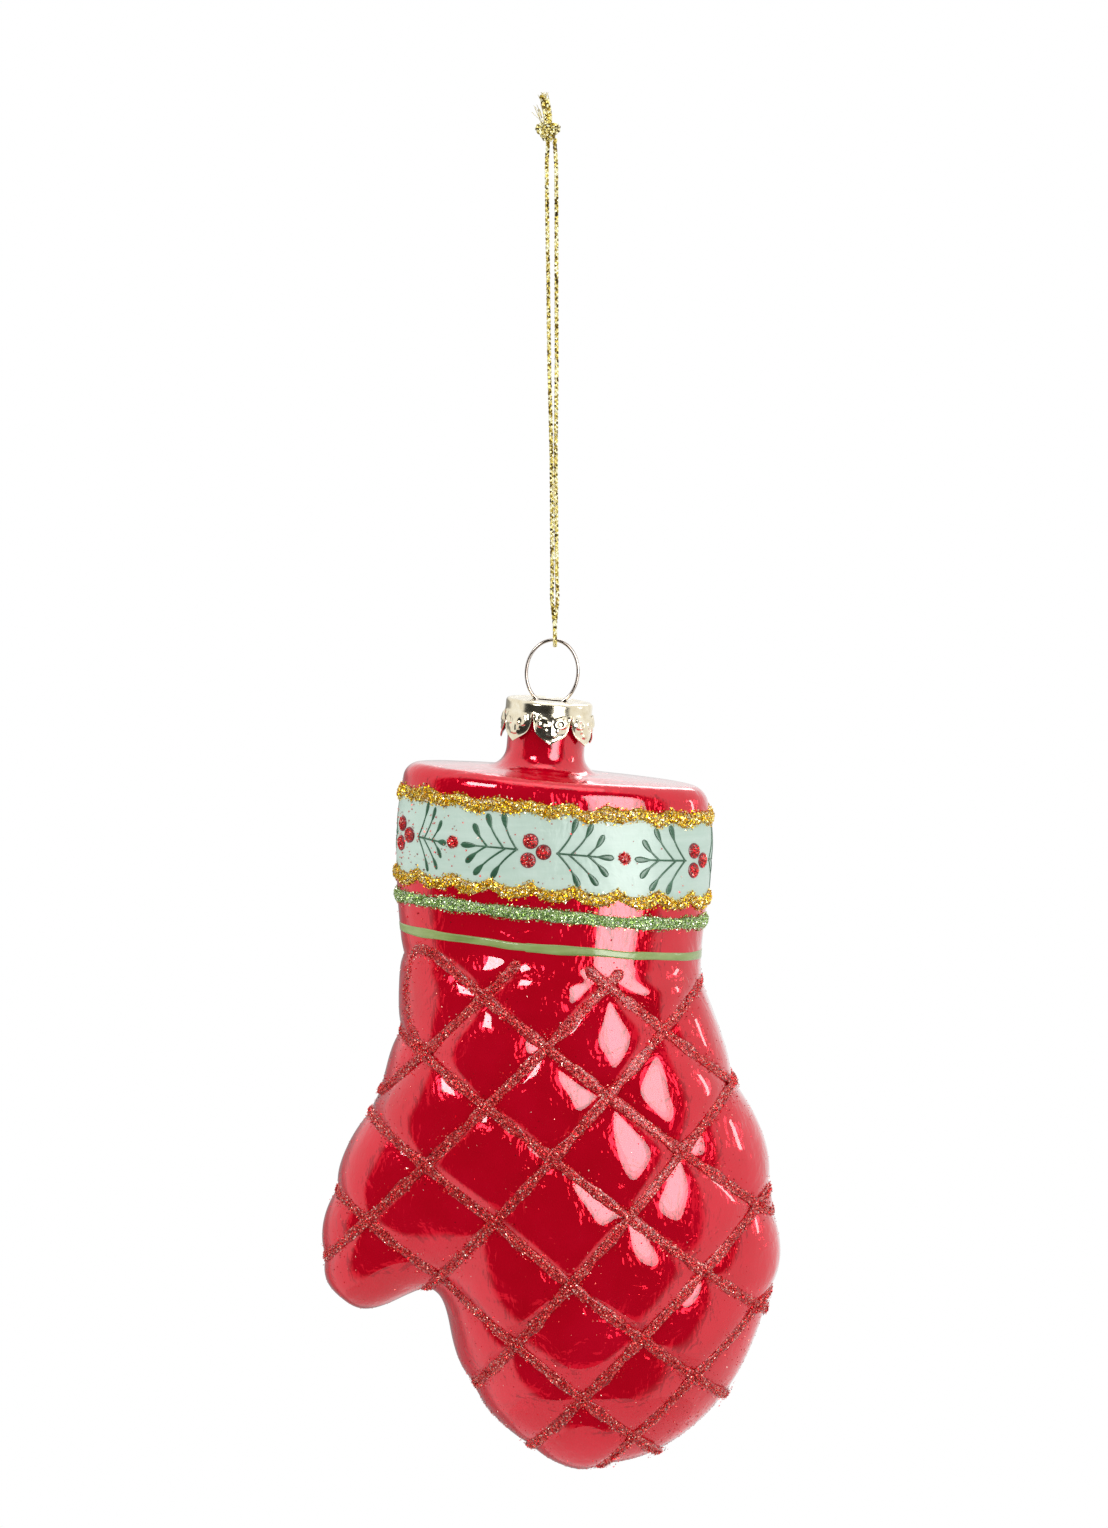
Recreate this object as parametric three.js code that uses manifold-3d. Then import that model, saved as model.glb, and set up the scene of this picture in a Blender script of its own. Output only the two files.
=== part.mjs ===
// Blown-glass hanging ornament in the shape of a quilted oven mitt, with its crown cap, wire
// hanger and cord. Millimetres and degrees, +Z up, the palm side towards -Y.
// The origin is the inside top of the cord loop, right under the knot, where a hook holds it.
// The mitt has a frame of its own: its origin is the hanger wire at the top of the ring, its
// z axis is the axis of the neck, and x points away from the thumb.
import * as THREE from 'three';
import { mergeVertices } from 'three/addons/utils/BufferGeometryUtils.js';
import Module from 'manifold-3d';

const wasm = await Module();
wasm.setup();

// Driving sizes: gaps between pieces
const seatGap = 0.3;

// Driving sizes: cord
const cordDiameter = 0.65;
const loopDrop = 74.5;
const loopLean = 0.55;
const bightRadius = 1.4;
const cordSides = 8;
const cordSteps = 76;
const tailDiameter = 0.8;
const tailLength = 4;
const tailLean = 0.7;

// Cord route, one line for each height: depth under the knot, half the distance between the two
// strands, and how far the pair has turned from side by side to one behind the other
const strandStations = [
  [0.35, 0.5, 0],
  [3, 0.68, 0],
  [9, 0.7, 0],
  [20, 0.62, 0],
  [34, 0.56, 2],
  [43, 0.45, 18],
  [50, 0.41, 26],
  [58, 0.4, 14],
  [65, 0.42, 10],
  [68.4, 0.52, 36],
  [70.6, 0.8, 76],
  [72.5, 1.15, 90],
];

// Driving sizes: knot
const knotWidth = 3.8;
const knotHeight = 3;
const knotDepth = 1.76;
const knotTube = 0.28;
const knotShift = -0.5;

// Driving sizes: wire hanger
const wireDiameter = 0.5;
const ringWidth = 8.24;
const ringSink = 1.24;
const legLength = 16;
const legWaist = 1.62;
const wireSides = 6;
const wireSteps = 64;

// Driving sizes: crown cap
const capDepth = 9;
const capSheet = 0.35;
const capHeight = 6.2;
const capRound = 0.5;
const bandHeight = 1.7;
const petalCount = 7;
const petalTurn = 5;
const petalBelly = 0.3;
const columnsPerPetal = 8;

// The oval of the ring would reach a little under the cap's top if it closed
const ringHeight = capDepth + ringSink;

// Driving sizes: glass
const hangTilt = 5;
const neckDiameter = 11.7;
const glassWall = 1;
const flareRadius = 3;
const shoulderDepth = 19.6;
const shoulderFall = 0.4;
const shoulderRound = 2.2;
const cuffAxis = 2.7;
const cuffBottom = 47.5;
const palmCentre = new THREE.Vector3(5, 0, -77);
const crotchBlend = 6.8;
const cuffBlend = 32;

// The smooth body under the quilting is three blended ellipsoids: centre, half sizes along
// x, y and z, and a lean in the plane of the mitt
const cuffForm = { centre: [1.8, 0, -28.6], half: [22.9, 12.5, 44.4], lean: 0 };
const handForm = { centre: [16.7, 0, -92.8], half: [24.3, 14, 31.4], lean: -4 };
const thumbForm = { centre: [-1.1, 0, -63.1], half: [14.2, 12.5, 45.2], lean: -29.4 };

// Quilting: two families of seams, each with the direction it steps in, and for each seam its
// distance from the quilt centre and its small turn away from the family
const quiltCentre = { x: 8, z: -77 };
const quiltStart = cuffBottom - 1;
const quiltFade = 4;
const puffHeight = 1.5;
const seamSink = 0.35;
const seamFamilies = [
  { step: -124, seams: [[-37.6, 0], [-24.9, 0.8], [-12.5, -0.9], [0, -1.4], [13.2, -0.3], [25.8, 0.6], [38.5, 0]] },
  { step: -38, seams: [[-38.5, 2], [-26.2, 2.1], [-14.4, 1.8], [-2, -1.6], [12.3, -3], [26.4, -0.4], [36.8, 0.7]] },
];

// Driving sizes: raised glitter bands round the cuff. The green band follows the lower gold one.
const glitterThickness = 0.6;
const bandClearance = 1.05;
const upperBand = { depth: 24.4, width: 2, wave: 0.25, waves: 21, columns: 105 };
const lowerBand = { depth: 36.6, width: 1.8, wave: 0.5, waves: 19, columns: 114 };
const greenBand = { width: 1.7, wave: 0.1, waves: 9, columns: 63 };
const bandReach = (band) => band.width / 2 + band.wave;
greenBand.depth = lowerBand.depth + bandReach(lowerBand) + bandClearance + bandReach(greenBand);

// Mesh fineness of the glass: columns round the neck, the cuff and the hand, and rows
const neckSides = 36;
const cuffSides = 60;
const handSides = 68;
const innerSides = 38;
const handRows = 13;
const palmRows = 33;
const snapReach = 0.85;

const radians = THREE.MathUtils.degToRad;
const wireRadius = wireDiameter / 2;
const cordRadius = cordDiameter / 2;
const neckRadius = neckDiameter / 2;
const boreRadius = neckRadius - glassWall;
const capInner = neckRadius + seatGap;
const capOuter = capInner + capSheet;
const capTop = -capDepth;
const neckTop = capTop - capSheet - seatGap;
const shoulderTop = -shoulderDepth;

// One closed body from rings of points, each ring running the same way round. A ring of one
// point closes an end, and rings of different counts are zipped together. Where two rings have
// the same count, each square is split along its lower diagonal, so a seam stays a crease.
function bodyFromRings(rings) {
  const points = rings.flat();
  const faces = [];
  let start = 0;
  for (let k = 0; k + 1 < rings.length; k += 1) {
    const upper = rings[k];
    const lower = rings[k + 1];
    const next = start + upper.length;
    if (upper.length === lower.length && upper.length > 1) {
      squareStrip(upper, lower, start, next, faces);
    } else {
      zipStrip(upper.length, lower.length, start, next, faces);
    }
    start = next;
  }
  return indexedGeometry(points, faces);
}

function squareStrip(upper, lower, start, next, faces) {
  const count = upper.length;
  for (let i = 0; i < count; i += 1) {
    const j = (i + 1) % count;
    const falling = (upper[i].relief ?? 0) + (lower[j].relief ?? 0);
    const rising = (upper[j].relief ?? 0) + (lower[i].relief ?? 0);
    if (falling <= rising) {
      faces.push(start + i, next + i, next + j, start + i, next + j, start + j);
    } else {
      faces.push(start + i, next + i, start + j, start + j, next + i, next + j);
    }
  }
}

function zipStrip(upperCount, lowerCount, start, next, faces) {
  let i = 0;
  let j = 0;
  const upperSteps = upperCount > 1 ? upperCount : 0;
  const lowerSteps = lowerCount > 1 ? lowerCount : 0;
  while (i < upperSteps || j < lowerSteps) {
    const a = start + (i % upperCount);
    const b = next + (j % lowerCount);
    const upperNext = (i + 0.5) / upperCount;
    const lowerNext = (j + 0.5) / lowerCount;
    if (j >= lowerSteps || (i < upperSteps && upperNext <= lowerNext)) {
      i += 1;
      faces.push(a, b, start + (i % upperCount));
    } else {
      j += 1;
      faces.push(a, b, next + (j % lowerCount));
    }
  }
}

function indexedGeometry(points, faces) {
  const geometry = new THREE.BufferGeometry().setFromPoints(points);
  geometry.setIndex(faces);
  return geometry;
}

// A closed tube round a centreline. A turning frame keeps the section from twisting, and
// radiusAt gives the radius at a share of the length.
function tubeAlong(curve, steps, sides, radiusAt) {
  const frames = curve.computeFrenetFrames(steps, false);
  const rings = [[curve.getPointAt(0)]];
  for (let k = 0; k <= steps; k += 1) {
    const centre = curve.getPointAt(k / steps);
    const radius = radiusAt(k / steps);
    const ring = [];
    for (let i = 0; i < sides; i += 1) {
      const angle = (2 * Math.PI * i) / sides;
      ring.push(centre.clone()
        .addScaledVector(frames.normals[k], -Math.cos(angle) * radius)
        .addScaledVector(frames.binormals[k], Math.sin(angle) * radius));
    }
    rings.push(ring);
  }
  rings.push([curve.getPointAt(1)]);
  return bodyFromRings(rings);
}

function solidOf(geometry) {
  const bare = geometry.clone();
  bare.deleteAttribute('normal');
  bare.deleteAttribute('uv');
  const merged = mergeVertices(bare, 1e-4);
  return new wasm.Manifold(new wasm.Mesh({
    numProp: 3,
    vertProperties: new Float32Array(merged.attributes.position.array),
    triVerts: new Uint32Array(merged.index.array),
  }));
}

function geometryOf(solid) {
  const mesh = solid.getMesh();
  const geometry = new THREE.BufferGeometry();
  geometry.setAttribute('position', new THREE.BufferAttribute(new Float32Array(mesh.vertProperties), 3));
  geometry.setIndex(Array.from(mesh.triVerts));
  return geometry;
}

// Distance from a point to an ellipsoid, below zero inside; near enough close to its surface
function formGap(point, form) {
  const lean = radians(form.lean);
  const dx = point.x - form.centre[0];
  const dz = point.z - form.centre[2];
  const across = dx * Math.cos(lean) + dz * Math.sin(lean);
  const along = dz * Math.cos(lean) - dx * Math.sin(lean);
  const [a, b, c] = form.half;
  const reach = Math.hypot(across / a, point.y / b, along / c);
  const slope = Math.hypot(across / (a * a), point.y / (b * b), along / (c * c));
  return (reach * (reach - 1)) / Math.max(slope, 1e-9);
}

// Smooth union of two distances, with a fillet about as wide as the blend
function blendGaps(first, second, blend) {
  const share = THREE.MathUtils.clamp(0.5 + (0.5 * (second - first)) / blend, 0, 1);
  return second * (1 - share) + first * share - blend * share * (1 - share);
}

function mittGap(point) {
  const body = blendGaps(formGap(point, cuffForm), formGap(point, handForm), cuffBlend);
  return blendGaps(body, formGap(point, thumbForm), crotchBlend);
}

// Point where a ray from inside the mitt meets the body grown by offset
function castToBody(origin, direction, offset) {
  const point = new THREE.Vector3();
  const gapAt = (reach) => mittGap(point.copy(origin).addScaledVector(direction, reach)) - offset;
  const stride = 0.5;
  let far = stride;
  while (gapAt(far) < 0) far += stride;
  let near = far - stride;
  for (let i = 0; i < 24; i += 1) {
    const middle = (near + far) / 2;
    if (gapAt(middle) < 0) near = middle;
    else far = middle;
  }
  return point.copy(origin).addScaledVector(direction, near).clone();
}

// Place of a point between the two seams of a family that it lies between
function betweenSeams(x, z, family) {
  const step = radians(family.step);
  const dx = x - quiltCentre.x;
  const dz = z - quiltCentre.z;
  const across = dx * Math.cos(step) + dz * Math.sin(step);
  const along = dz * Math.cos(step) - dx * Math.sin(step);
  const seams = family.seams.map(([place, turn]) => place + along * Math.tan(radians(turn)));
  let k = 0;
  while (k < seams.length - 2 && across > seams[k + 1]) k += 1;
  return { past: across - seams[k], pitch: seams[k + 1] - seams[k] };
}

// Share of the padding between two seams of a family: 0 on a seam, 1 half way between two
function padding(x, z, family) {
  const { past, pitch } = betweenSeams(x, z, family);
  const share = THREE.MathUtils.clamp(past / pitch, 0, 1);
  return (1 - Math.abs(2 * share - 1) ** 3.2) ** 0.75;
}

function puffAt(x, z) {
  const fade = THREE.MathUtils.smoothstep(-z, quiltStart, quiltStart + quiltFade);
  const raised = puffHeight * padding(x, z, seamFamilies[0]) * padding(x, z, seamFamilies[1]);
  return fade * (raised - seamSink);
}

// Moves a point that is close to a seam onto it, so that the seam runs along facet edges
function snapToSeams(point) {
  const snapped = point.clone();
  for (const family of seamFamilies) {
    const { past, pitch } = betweenSeams(point.x, point.z, family);
    const toSeam = past < pitch / 2 ? -past : pitch - past;
    if (Math.abs(toSeam) < snapReach) {
      snapped.x += toSeam * Math.cos(radians(family.step));
      snapped.z += toSeam * Math.sin(radians(family.step));
    }
  }
  return snapped;
}

// Rays leave the mitt's middle line level down to the palm centre, and fan out below it.
// The half sizes of the fan keep the columns and rows evenly spread over the surface.
const fanHalf = { x: 32, y: 16, z: 47 };
const lastSnapDip = radians(80);

function levelRing(sides, depth, offset, withQuilt) {
  const sink = THREE.MathUtils.smoothstep(depth, cuffBottom, -palmCentre.z);
  const origin = new THREE.Vector3(THREE.MathUtils.lerp(cuffAxis, palmCentre.x, sink), 0, -depth);
  return castRing(sides, origin, 0, offset, withQuilt);
}

function quiltedPoint(point, origin, dip) {
  const target = dip < lastSnapDip ? snapToSeams(point) : point;
  const direction = target.sub(origin).normalize();
  const quilted = castToBody(origin, direction, 0);
  quilted.relief = puffAt(quilted.x, quilted.z);
  return quilted.addScaledVector(direction, quilted.relief);
}

function castRing(sides, origin, dip, offset, withQuilt) {
  const ring = [];
  for (let i = 0; i < sides; i += 1) {
    const turn = (2 * Math.PI * i) / sides;
    const direction = new THREE.Vector3(
      fanHalf.x * Math.cos(turn) * Math.cos(dip),
      fanHalf.y * Math.sin(turn) * Math.cos(dip),
      -fanHalf.z * Math.sin(dip),
    ).normalize();
    const point = castToBody(origin, direction, offset);
    ring.push(withQuilt ? quiltedPoint(point, origin, dip) : point);
  }
  return ring;
}

function circleRing(sides, radius, z) {
  return Array.from({ length: sides }, (_, i) => {
    const turn = (2 * Math.PI * i) / sides;
    return new THREE.Vector3(radius * Math.cos(turn), radius * Math.sin(turn), z);
  });
}

// Shoulder edge: the cuff's outline drawn in and raised along a quarter round
function shoulderRing(angle) {
  const rise = shoulderRound * (1 - Math.cos(angle));
  const inset = shoulderRound * (1 - Math.sin(angle));
  const depth = shoulderDepth + shoulderFall + rise;
  const ring = levelRing(cuffSides, depth, 0, false);
  return ring.map((point) => {
    const outward = new THREE.Vector3(point.x - cuffAxis, point.y, 0).normalize();
    return point.addScaledVector(outward, -inset);
  });
}

function outerGlassRings() {
  const rings = [circleRing(neckSides, neckRadius, neckTop)];
  for (let k = 0; k <= 3; k += 1) {
    const angle = radians(90 - 30 * k);
    const radius = neckRadius + flareRadius * (1 - Math.sin(angle));
    rings.push(circleRing(neckSides, radius, shoulderTop + flareRadius * (1 - Math.cos(angle))));
  }
  for (let k = 0; k <= 3; k += 1) rings.push(shoulderRing(radians(30 * k)));
  for (const share of [0.25, 0.5, 0.75, 1]) {
    const depth = THREE.MathUtils.lerp(shoulderDepth + shoulderFall + shoulderRound, cuffBottom, share);
    rings.push(levelRing(cuffSides, depth, 0, false));
  }
  for (let k = 1; k <= handRows; k += 1) {
    const depth = THREE.MathUtils.lerp(cuffBottom, -palmCentre.z, k / handRows);
    rings.push(levelRing(handSides, depth, 0, true));
  }
  for (let k = 1; k < palmRows; k += 1) {
    const sides = k < palmRows - 4 ? handSides : handSides / 2;
    rings.push(castRing(sides, palmCentre, radians((90 * k) / palmRows), 0, true));
  }
  rings.push([castRing(1, palmCentre, Math.PI / 2, 0, true)[0]]);
  return rings;
}

function innerGlassRings() {
  const rings = [circleRing(neckSides, boreRadius, neckTop)];
  rings.push(circleRing(neckSides, boreRadius, shoulderTop + flareRadius / 2));
  rings.push(circleRing(neckSides, boreRadius + flareRadius / 2, shoulderTop - glassWall));
  const roofDepth = shoulderDepth + shoulderFall + glassWall + shoulderRound;
  for (const share of [0, 0.5, 1]) {
    rings.push(levelRing(innerSides, THREE.MathUtils.lerp(roofDepth, cuffBottom, share), -glassWall, false));
  }
  for (let k = 1; k <= 5; k += 1) {
    const depth = THREE.MathUtils.lerp(cuffBottom, -palmCentre.z, k / 5);
    rings.push(levelRing(innerSides, depth, -glassWall, false));
  }
  for (let k = 1; k < 12; k += 1) {
    rings.push(castRing(innerSides, palmCentre, radians((90 * k) / 12), -glassWall, false));
  }
  rings.push([castRing(1, palmCentre, Math.PI / 2, -glassWall, false)[0]]);
  return rings;
}

function glassShell() {
  const outer = outerGlassRings();
  const inner = innerGlassRings();
  return bodyFromRings([...outer.reverse(), ...inner].map((ring) => [...ring].reverse()));
}

// Raised bead of glitter round the cuff, with a wavy run and a low crowned section
function glitterBand(band) {
  const section = [[0, -0.5], [0, 0.5], [1, 0.28], [1, -0.28]];
  const columns = [];
  for (let i = 0; i < band.columns; i += 1) {
    const turn = (2 * Math.PI * i) / band.columns;
    const sway = band.wave * Math.sin(band.waves * turn);
    columns.push(section.map(([proud, share]) => {
      const depth = band.depth + sway - share * band.width;
      const origin = new THREE.Vector3(cuffAxis, 0, -depth);
      const direction = new THREE.Vector3(fanHalf.x * Math.cos(turn), fanHalf.y * Math.sin(turn), 0).normalize();
      return castToBody(origin, direction, seatGap + proud * glitterThickness);
    }));
  }
  const points = columns.flat();
  const sides = section.length;
  const faces = [];
  columns.forEach((_, i) => {
    const here = i * sides;
    const there = ((i + 1) % columns.length) * sides;
    for (let j = 0; j < sides; j += 1) {
      const k = (j + 1) % sides;
      faces.push(here + j, here + k, there + k, here + j, there + k, there + j);
    }
  });
  return indexedGeometry(points, faces);
}

// Crown cap: a pressed cup with a plain band and a skirt of leaf-shaped petals
function petalDrop(share) {
  return 1 - 0.3 * share - 0.7 * share ** 4;
}

function capRing(radius, heightAt) {
  const count = petalCount * columnsPerPetal;
  return Array.from({ length: count }, (_, i) => {
    const turn = radians(petalTurn - 90) + (2 * Math.PI * i) / count;
    const inPetal = ((i + columnsPerPetal / 2) % columnsPerPetal) / columnsPerPetal;
    const drop = petalDrop(Math.abs(2 * inPetal - 1));
    return new THREE.Vector3(radius * Math.cos(turn), radius * Math.sin(turn), heightAt(drop));
  });
}

function crownCap() {
  const petalLength = capHeight - bandHeight;
  const rings = [[new THREE.Vector3(0, 0, capTop)]];
  rings.push(capRing(capOuter - capRound, () => capTop));
  rings.push(capRing(capOuter - 0.3 * capRound, () => capTop - 0.3 * capRound));
  rings.push(capRing(capOuter, () => capTop - capRound));
  const skirt = [0, 0.35, 0.7, 1];
  const bulge = (share) => petalBelly * Math.sin(Math.PI * Math.min(share, 0.8));
  const skirtHeight = (share) => (drop) => capTop - bandHeight - share * drop * petalLength;
  skirt.forEach((share) => rings.push(capRing(capOuter + bulge(share), skirtHeight(share))));
  [...skirt].reverse().forEach((share) => rings.push(capRing(capInner + bulge(share), skirtHeight(share))));
  rings.push(capRing(capInner, () => capTop - capSheet));
  rings.push([new THREE.Vector3(0, 0, capTop - capSheet)]);
  const cup = solidOf(bodyFromRings(rings));
  return geometryOf(cup.subtract(solidOf(legSlot())));
}

// Slot in the cap's top: long enough for both legs, with the seat gap all round
function legSlot() {
  const length = 2 * (legSpread + wireRadius + seatGap);
  const slot = new THREE.BoxGeometry(length, wireDiameter + 2 * seatGap, 4 * capSheet);
  return slot.translate(0, 0, capTop - capSheet / 2);
}

// Ring of the hanger: an ellipse that hangs from the origin, open where it enters the cap
const ringHalf = { x: ringWidth / 2 - wireRadius, z: ringHeight / 2 - wireRadius };
const entryAngle = Math.acos(1 - capDepth / ringHalf.z);
const legSpread = ringHalf.x * Math.sin(entryAngle);
const prongReach = boreRadius - seatGap - wireRadius;

function hangerCurve() {
  const points = [];
  const arcs = 20;
  for (let k = -arcs; k <= arcs; k += 1) {
    const angle = (entryAngle * k) / arcs;
    points.push(new THREE.Vector3(ringHalf.x * Math.sin(angle), 0, ringHalf.z * (Math.cos(angle) - 1)));
  }
  const legStations = [
    [0.05, legWaist],
    [0.15, legWaist],
    [0.4, THREE.MathUtils.lerp(legWaist, prongReach, 0.3)],
    [0.75, THREE.MathUtils.lerp(legWaist, prongReach, 0.78)],
    [1, prongReach],
  ];
  for (const [share, reach] of legStations) {
    const z = capTop - share * legLength;
    points.push(new THREE.Vector3(reach, 0, z));
    points.unshift(new THREE.Vector3(-reach, 0, z));
  }
  return new THREE.CatmullRomCurve3(points, false, 'centripetal');
}

function wireHanger() {
  return tubeAlong(hangerCurve(), wireSteps, wireSides, () => wireRadius);
}

// Cord: down one strand, round under the hanger wire and up the other
function strandPoint(side, [depth, half, turn]) {
  const lean = loopLean * (depth / loopDrop);
  const angle = radians(turn);
  return new THREE.Vector3(lean - side * half * Math.cos(angle), -side * half * Math.sin(angle), -depth);
}

function cordCurve() {
  const down = strandStations.map((station) => strandPoint(1, station));
  const up = strandStations.map((station) => strandPoint(-1, station)).reverse();
  const bottom = -loopDrop - wireRadius - seatGap - cordRadius;
  const bight = [-80, -45, 0, 45, 80].map((angle) => new THREE.Vector3(
    loopLean,
    bightRadius * Math.sin(radians(angle)),
    bottom + bightRadius * (1 - Math.cos(radians(angle))),
  ));
  return new THREE.CatmullRomCurve3([...down, ...bight, ...up], false, 'centripetal');
}

function hangingCord() {
  return tubeAlong(cordCurve(), cordSteps, cordSides, () => cordRadius);
}

// Knot: three crossing lobes of doubled cord, pulled tight on top of the loop
class KnotCurve extends THREE.Curve {
  getPoint(share, target = new THREE.Vector3()) {
    const turn = 2 * Math.PI * share;
    const width = (knotWidth / 2 - knotTube) / 3;
    const height = (knotHeight / 2 - knotTube) / 3;
    const lift = knotHeight / 2;
    return target.set(
      knotShift + width * (Math.sin(turn) + 2 * Math.sin(2 * turn)),
      (knotDepth / 2 - knotTube) * Math.sin(3 * turn),
      lift + height * (Math.cos(turn) - 2 * Math.cos(2 * turn)),
    );
  }
}

function cordKnot() {
  const curve = new KnotCurve();
  const steps = 36;
  const sides = 6;
  const frames = curve.computeFrenetFrames(steps, true);
  const points = [];
  const faces = [];
  for (let k = 0; k < steps; k += 1) {
    const centre = curve.getPointAt(k / steps);
    for (let i = 0; i < sides; i += 1) {
      const angle = (2 * Math.PI * i) / sides;
      points.push(centre.clone()
        .addScaledVector(frames.normals[k], Math.cos(angle) * knotTube)
        .addScaledVector(frames.binormals[k], Math.sin(angle) * knotTube));
      const a = k * sides + i;
      const b = k * sides + ((i + 1) % sides);
      const c = ((k + 1) % steps) * sides + i;
      const d = ((k + 1) % steps) * sides + ((i + 1) % sides);
      faces.push(a, b, d, a, d, c);
    }
  }
  return indexedGeometry(points, faces);
}

// Cut ends of the cord, standing up from the knot
function cordTail() {
  const foot = knotHeight + seatGap;
  const curve = new THREE.CatmullRomCurve3([
    new THREE.Vector3(knotShift, 0, foot),
    new THREE.Vector3(knotShift - 0.15 * tailLean, 0, foot + 0.3 * tailLength),
    new THREE.Vector3(knotShift - 0.4 * tailLean, 0, foot + 0.65 * tailLength),
    new THREE.Vector3(knotShift - tailLean, 0, foot + tailLength),
  ]);
  return tubeAlong(curve, 8, cordSides, (share) => (tailDiameter / 2) * (0.75 + 0.25 * share));
}

function finish(color, roughness, metalness) {
  return new THREE.MeshStandardMaterial({ color, roughness, metalness });
}

const finishes = {
  lacquer: finish(0xb80a1c, 0.12, 0.6),
  champagne: finish(0xd7cda0, 0.28, 1),
  wire: finish(0xb9b3a0, 0.3, 1),
  cord: finish(0xb79a3c, 0.5, 0.7),
  goldGlitter: finish(0xc89a1e, 0.4, 0.7),
  greenGlitter: finish(0x7d9a66, 0.4, 0.5),
};

function piece(name, geometry, material) {
  geometry.computeVertexNormals();
  const mesh = new THREE.Mesh(geometry, material);
  mesh.name = name;
  return mesh;
}

const mitt = new THREE.Group();
mitt.position.set(loopLean, 0, -loopDrop);
mitt.rotation.y = radians(hangTilt);
mitt.add(
  piece('wire_hanger', wireHanger(), finishes.wire),
  piece('crown_cap', crownCap(), finishes.champagne),
  piece('glass_shell', glassShell(), finishes.lacquer),
  piece('gold_glitter_upper', glitterBand(upperBand), finishes.goldGlitter),
  piece('gold_glitter_lower', glitterBand(lowerBand), finishes.goldGlitter),
  piece('green_glitter_band', glitterBand(greenBand), finishes.greenGlitter),
);

const ornament = new THREE.Group();
ornament.add(
  piece('hanging_cord', hangingCord(), finishes.cord),
  piece('cord_knot', cordKnot(), finishes.cord),
  piece('cord_tail', cordTail(), finishes.cord),
  mitt,
);

export default ornament;
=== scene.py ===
import bpy
import numpy as np
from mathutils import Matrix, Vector


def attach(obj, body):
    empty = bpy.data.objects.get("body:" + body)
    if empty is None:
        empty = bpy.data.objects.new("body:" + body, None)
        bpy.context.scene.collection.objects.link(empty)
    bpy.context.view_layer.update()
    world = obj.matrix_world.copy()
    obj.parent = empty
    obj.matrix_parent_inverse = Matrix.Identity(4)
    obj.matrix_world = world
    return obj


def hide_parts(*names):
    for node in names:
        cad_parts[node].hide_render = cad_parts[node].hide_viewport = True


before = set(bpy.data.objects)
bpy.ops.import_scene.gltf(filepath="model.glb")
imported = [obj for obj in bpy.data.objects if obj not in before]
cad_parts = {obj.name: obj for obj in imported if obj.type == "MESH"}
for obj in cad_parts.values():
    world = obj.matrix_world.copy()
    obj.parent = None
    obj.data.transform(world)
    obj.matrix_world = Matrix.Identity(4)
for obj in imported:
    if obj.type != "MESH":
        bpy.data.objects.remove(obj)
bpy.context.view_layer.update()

# Blown-glass oven mitt ornament: quilted red glass, painted cuff, glitter, crown cap, wire, cord.
# Sizes are millimetres and degrees in the mitt's own frame: its origin is the hanger wire at the
# top of the ring, z runs along the neck, x away from the thumb. Points go to metres in the row
# frame when a piece is laid.

# Sizes shared with the solids
seat_gap = 0.3
cord_diameter = 0.65
loop_drop = 74.5
loop_lean = 0.55
bight_radius = 1.4
wire_radius = 0.25
ring_half = np.array([3.87, 4.87])
leg_length = 16.0
leg_waist = 1.62
cap_depth = 9.0
cap_sheet = 0.35
cap_height = 6.2
cap_round = 0.5
cap_band = 1.7
petal_count = 7
petal_turn = 5.0
petal_belly = 0.3
hang_tilt = 5.0
neck_radius = 5.85
glass_wall = 1.0
flare_radius = 3.0
shoulder_depth = 19.6
shoulder_fall = 0.4
shoulder_round = 2.2
cuff_axis = 2.7
cuff_bottom = 47.5
palm_depth = 77.0
palm_centre = np.array([5.0, 0.0, -palm_depth])
crotch_blend = 6.8
cuff_blend = 32.0
quilt_centre = np.array([8.0, -palm_depth])
quilt_start = 46.5
quilt_fade = 4.0
puff_height = 1.5
seam_sink = 0.35
fan_half = np.array([32.0, 16.0, 47.0])

# Body under the quilting: centre in x and z, half sizes along x, y and z, lean
cuff_form = ((1.8, -28.6), (22.9, 12.5, 44.4), 0.0)
hand_form = ((16.7, -92.8), (24.3, 14.0, 31.4), -4.0)
thumb_form = ((-1.1, -63.1), (14.2, 12.5, 45.2), -29.4)

# Seams: the direction that a family steps in, then distance and small turn of each seam
seam_families = (
    (-124.0, ((-37.6, 0), (-24.9, 0.8), (-12.5, -0.9), (0, -1.4), (13.2, -0.3), (25.8, 0.6), (38.5, 0))),
    (-38.0, ((-38.5, 2), (-26.2, 2.1), (-14.4, 1.8), (-2, -1.6), (12.3, -3), (26.4, -0.4), (36.8, 0.7))),
)

# Cord route: depth under the knot, half the distance of the strands, turn of the pair
strand_stations = np.array([
    [0.35, 0.5, 0],
    [3, 0.68, 0],
    [9, 0.7, 0],
    [20, 0.62, 0],
    [34, 0.54, 2],
    [43, 0.4, 18],
    [50, 0.35, 26],
    [58, 0.34, 14],
    [65, 0.36, 10],
    [68.4, 0.5, 36],
    [70.6, 0.8, 76],
    [72.5, 1.15, 90],
])
knot_width = 3.8
knot_height = 3.0
knot_depth = 1.76
knot_tube = 0.28
knot_shift = -0.5
tail_length = 4.0


def put_in(name, data):
    """New object in the scene for a camera, lamp or mesh."""
    made = bpy.data.objects.new(name, data)
    bpy.context.scene.collection.objects.link(made)
    return made


def looking(way):
    """Turn of a camera or lamp that looks along the direction."""
    return Vector(way).to_track_quat("-Z", "Y").to_euler()


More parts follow.
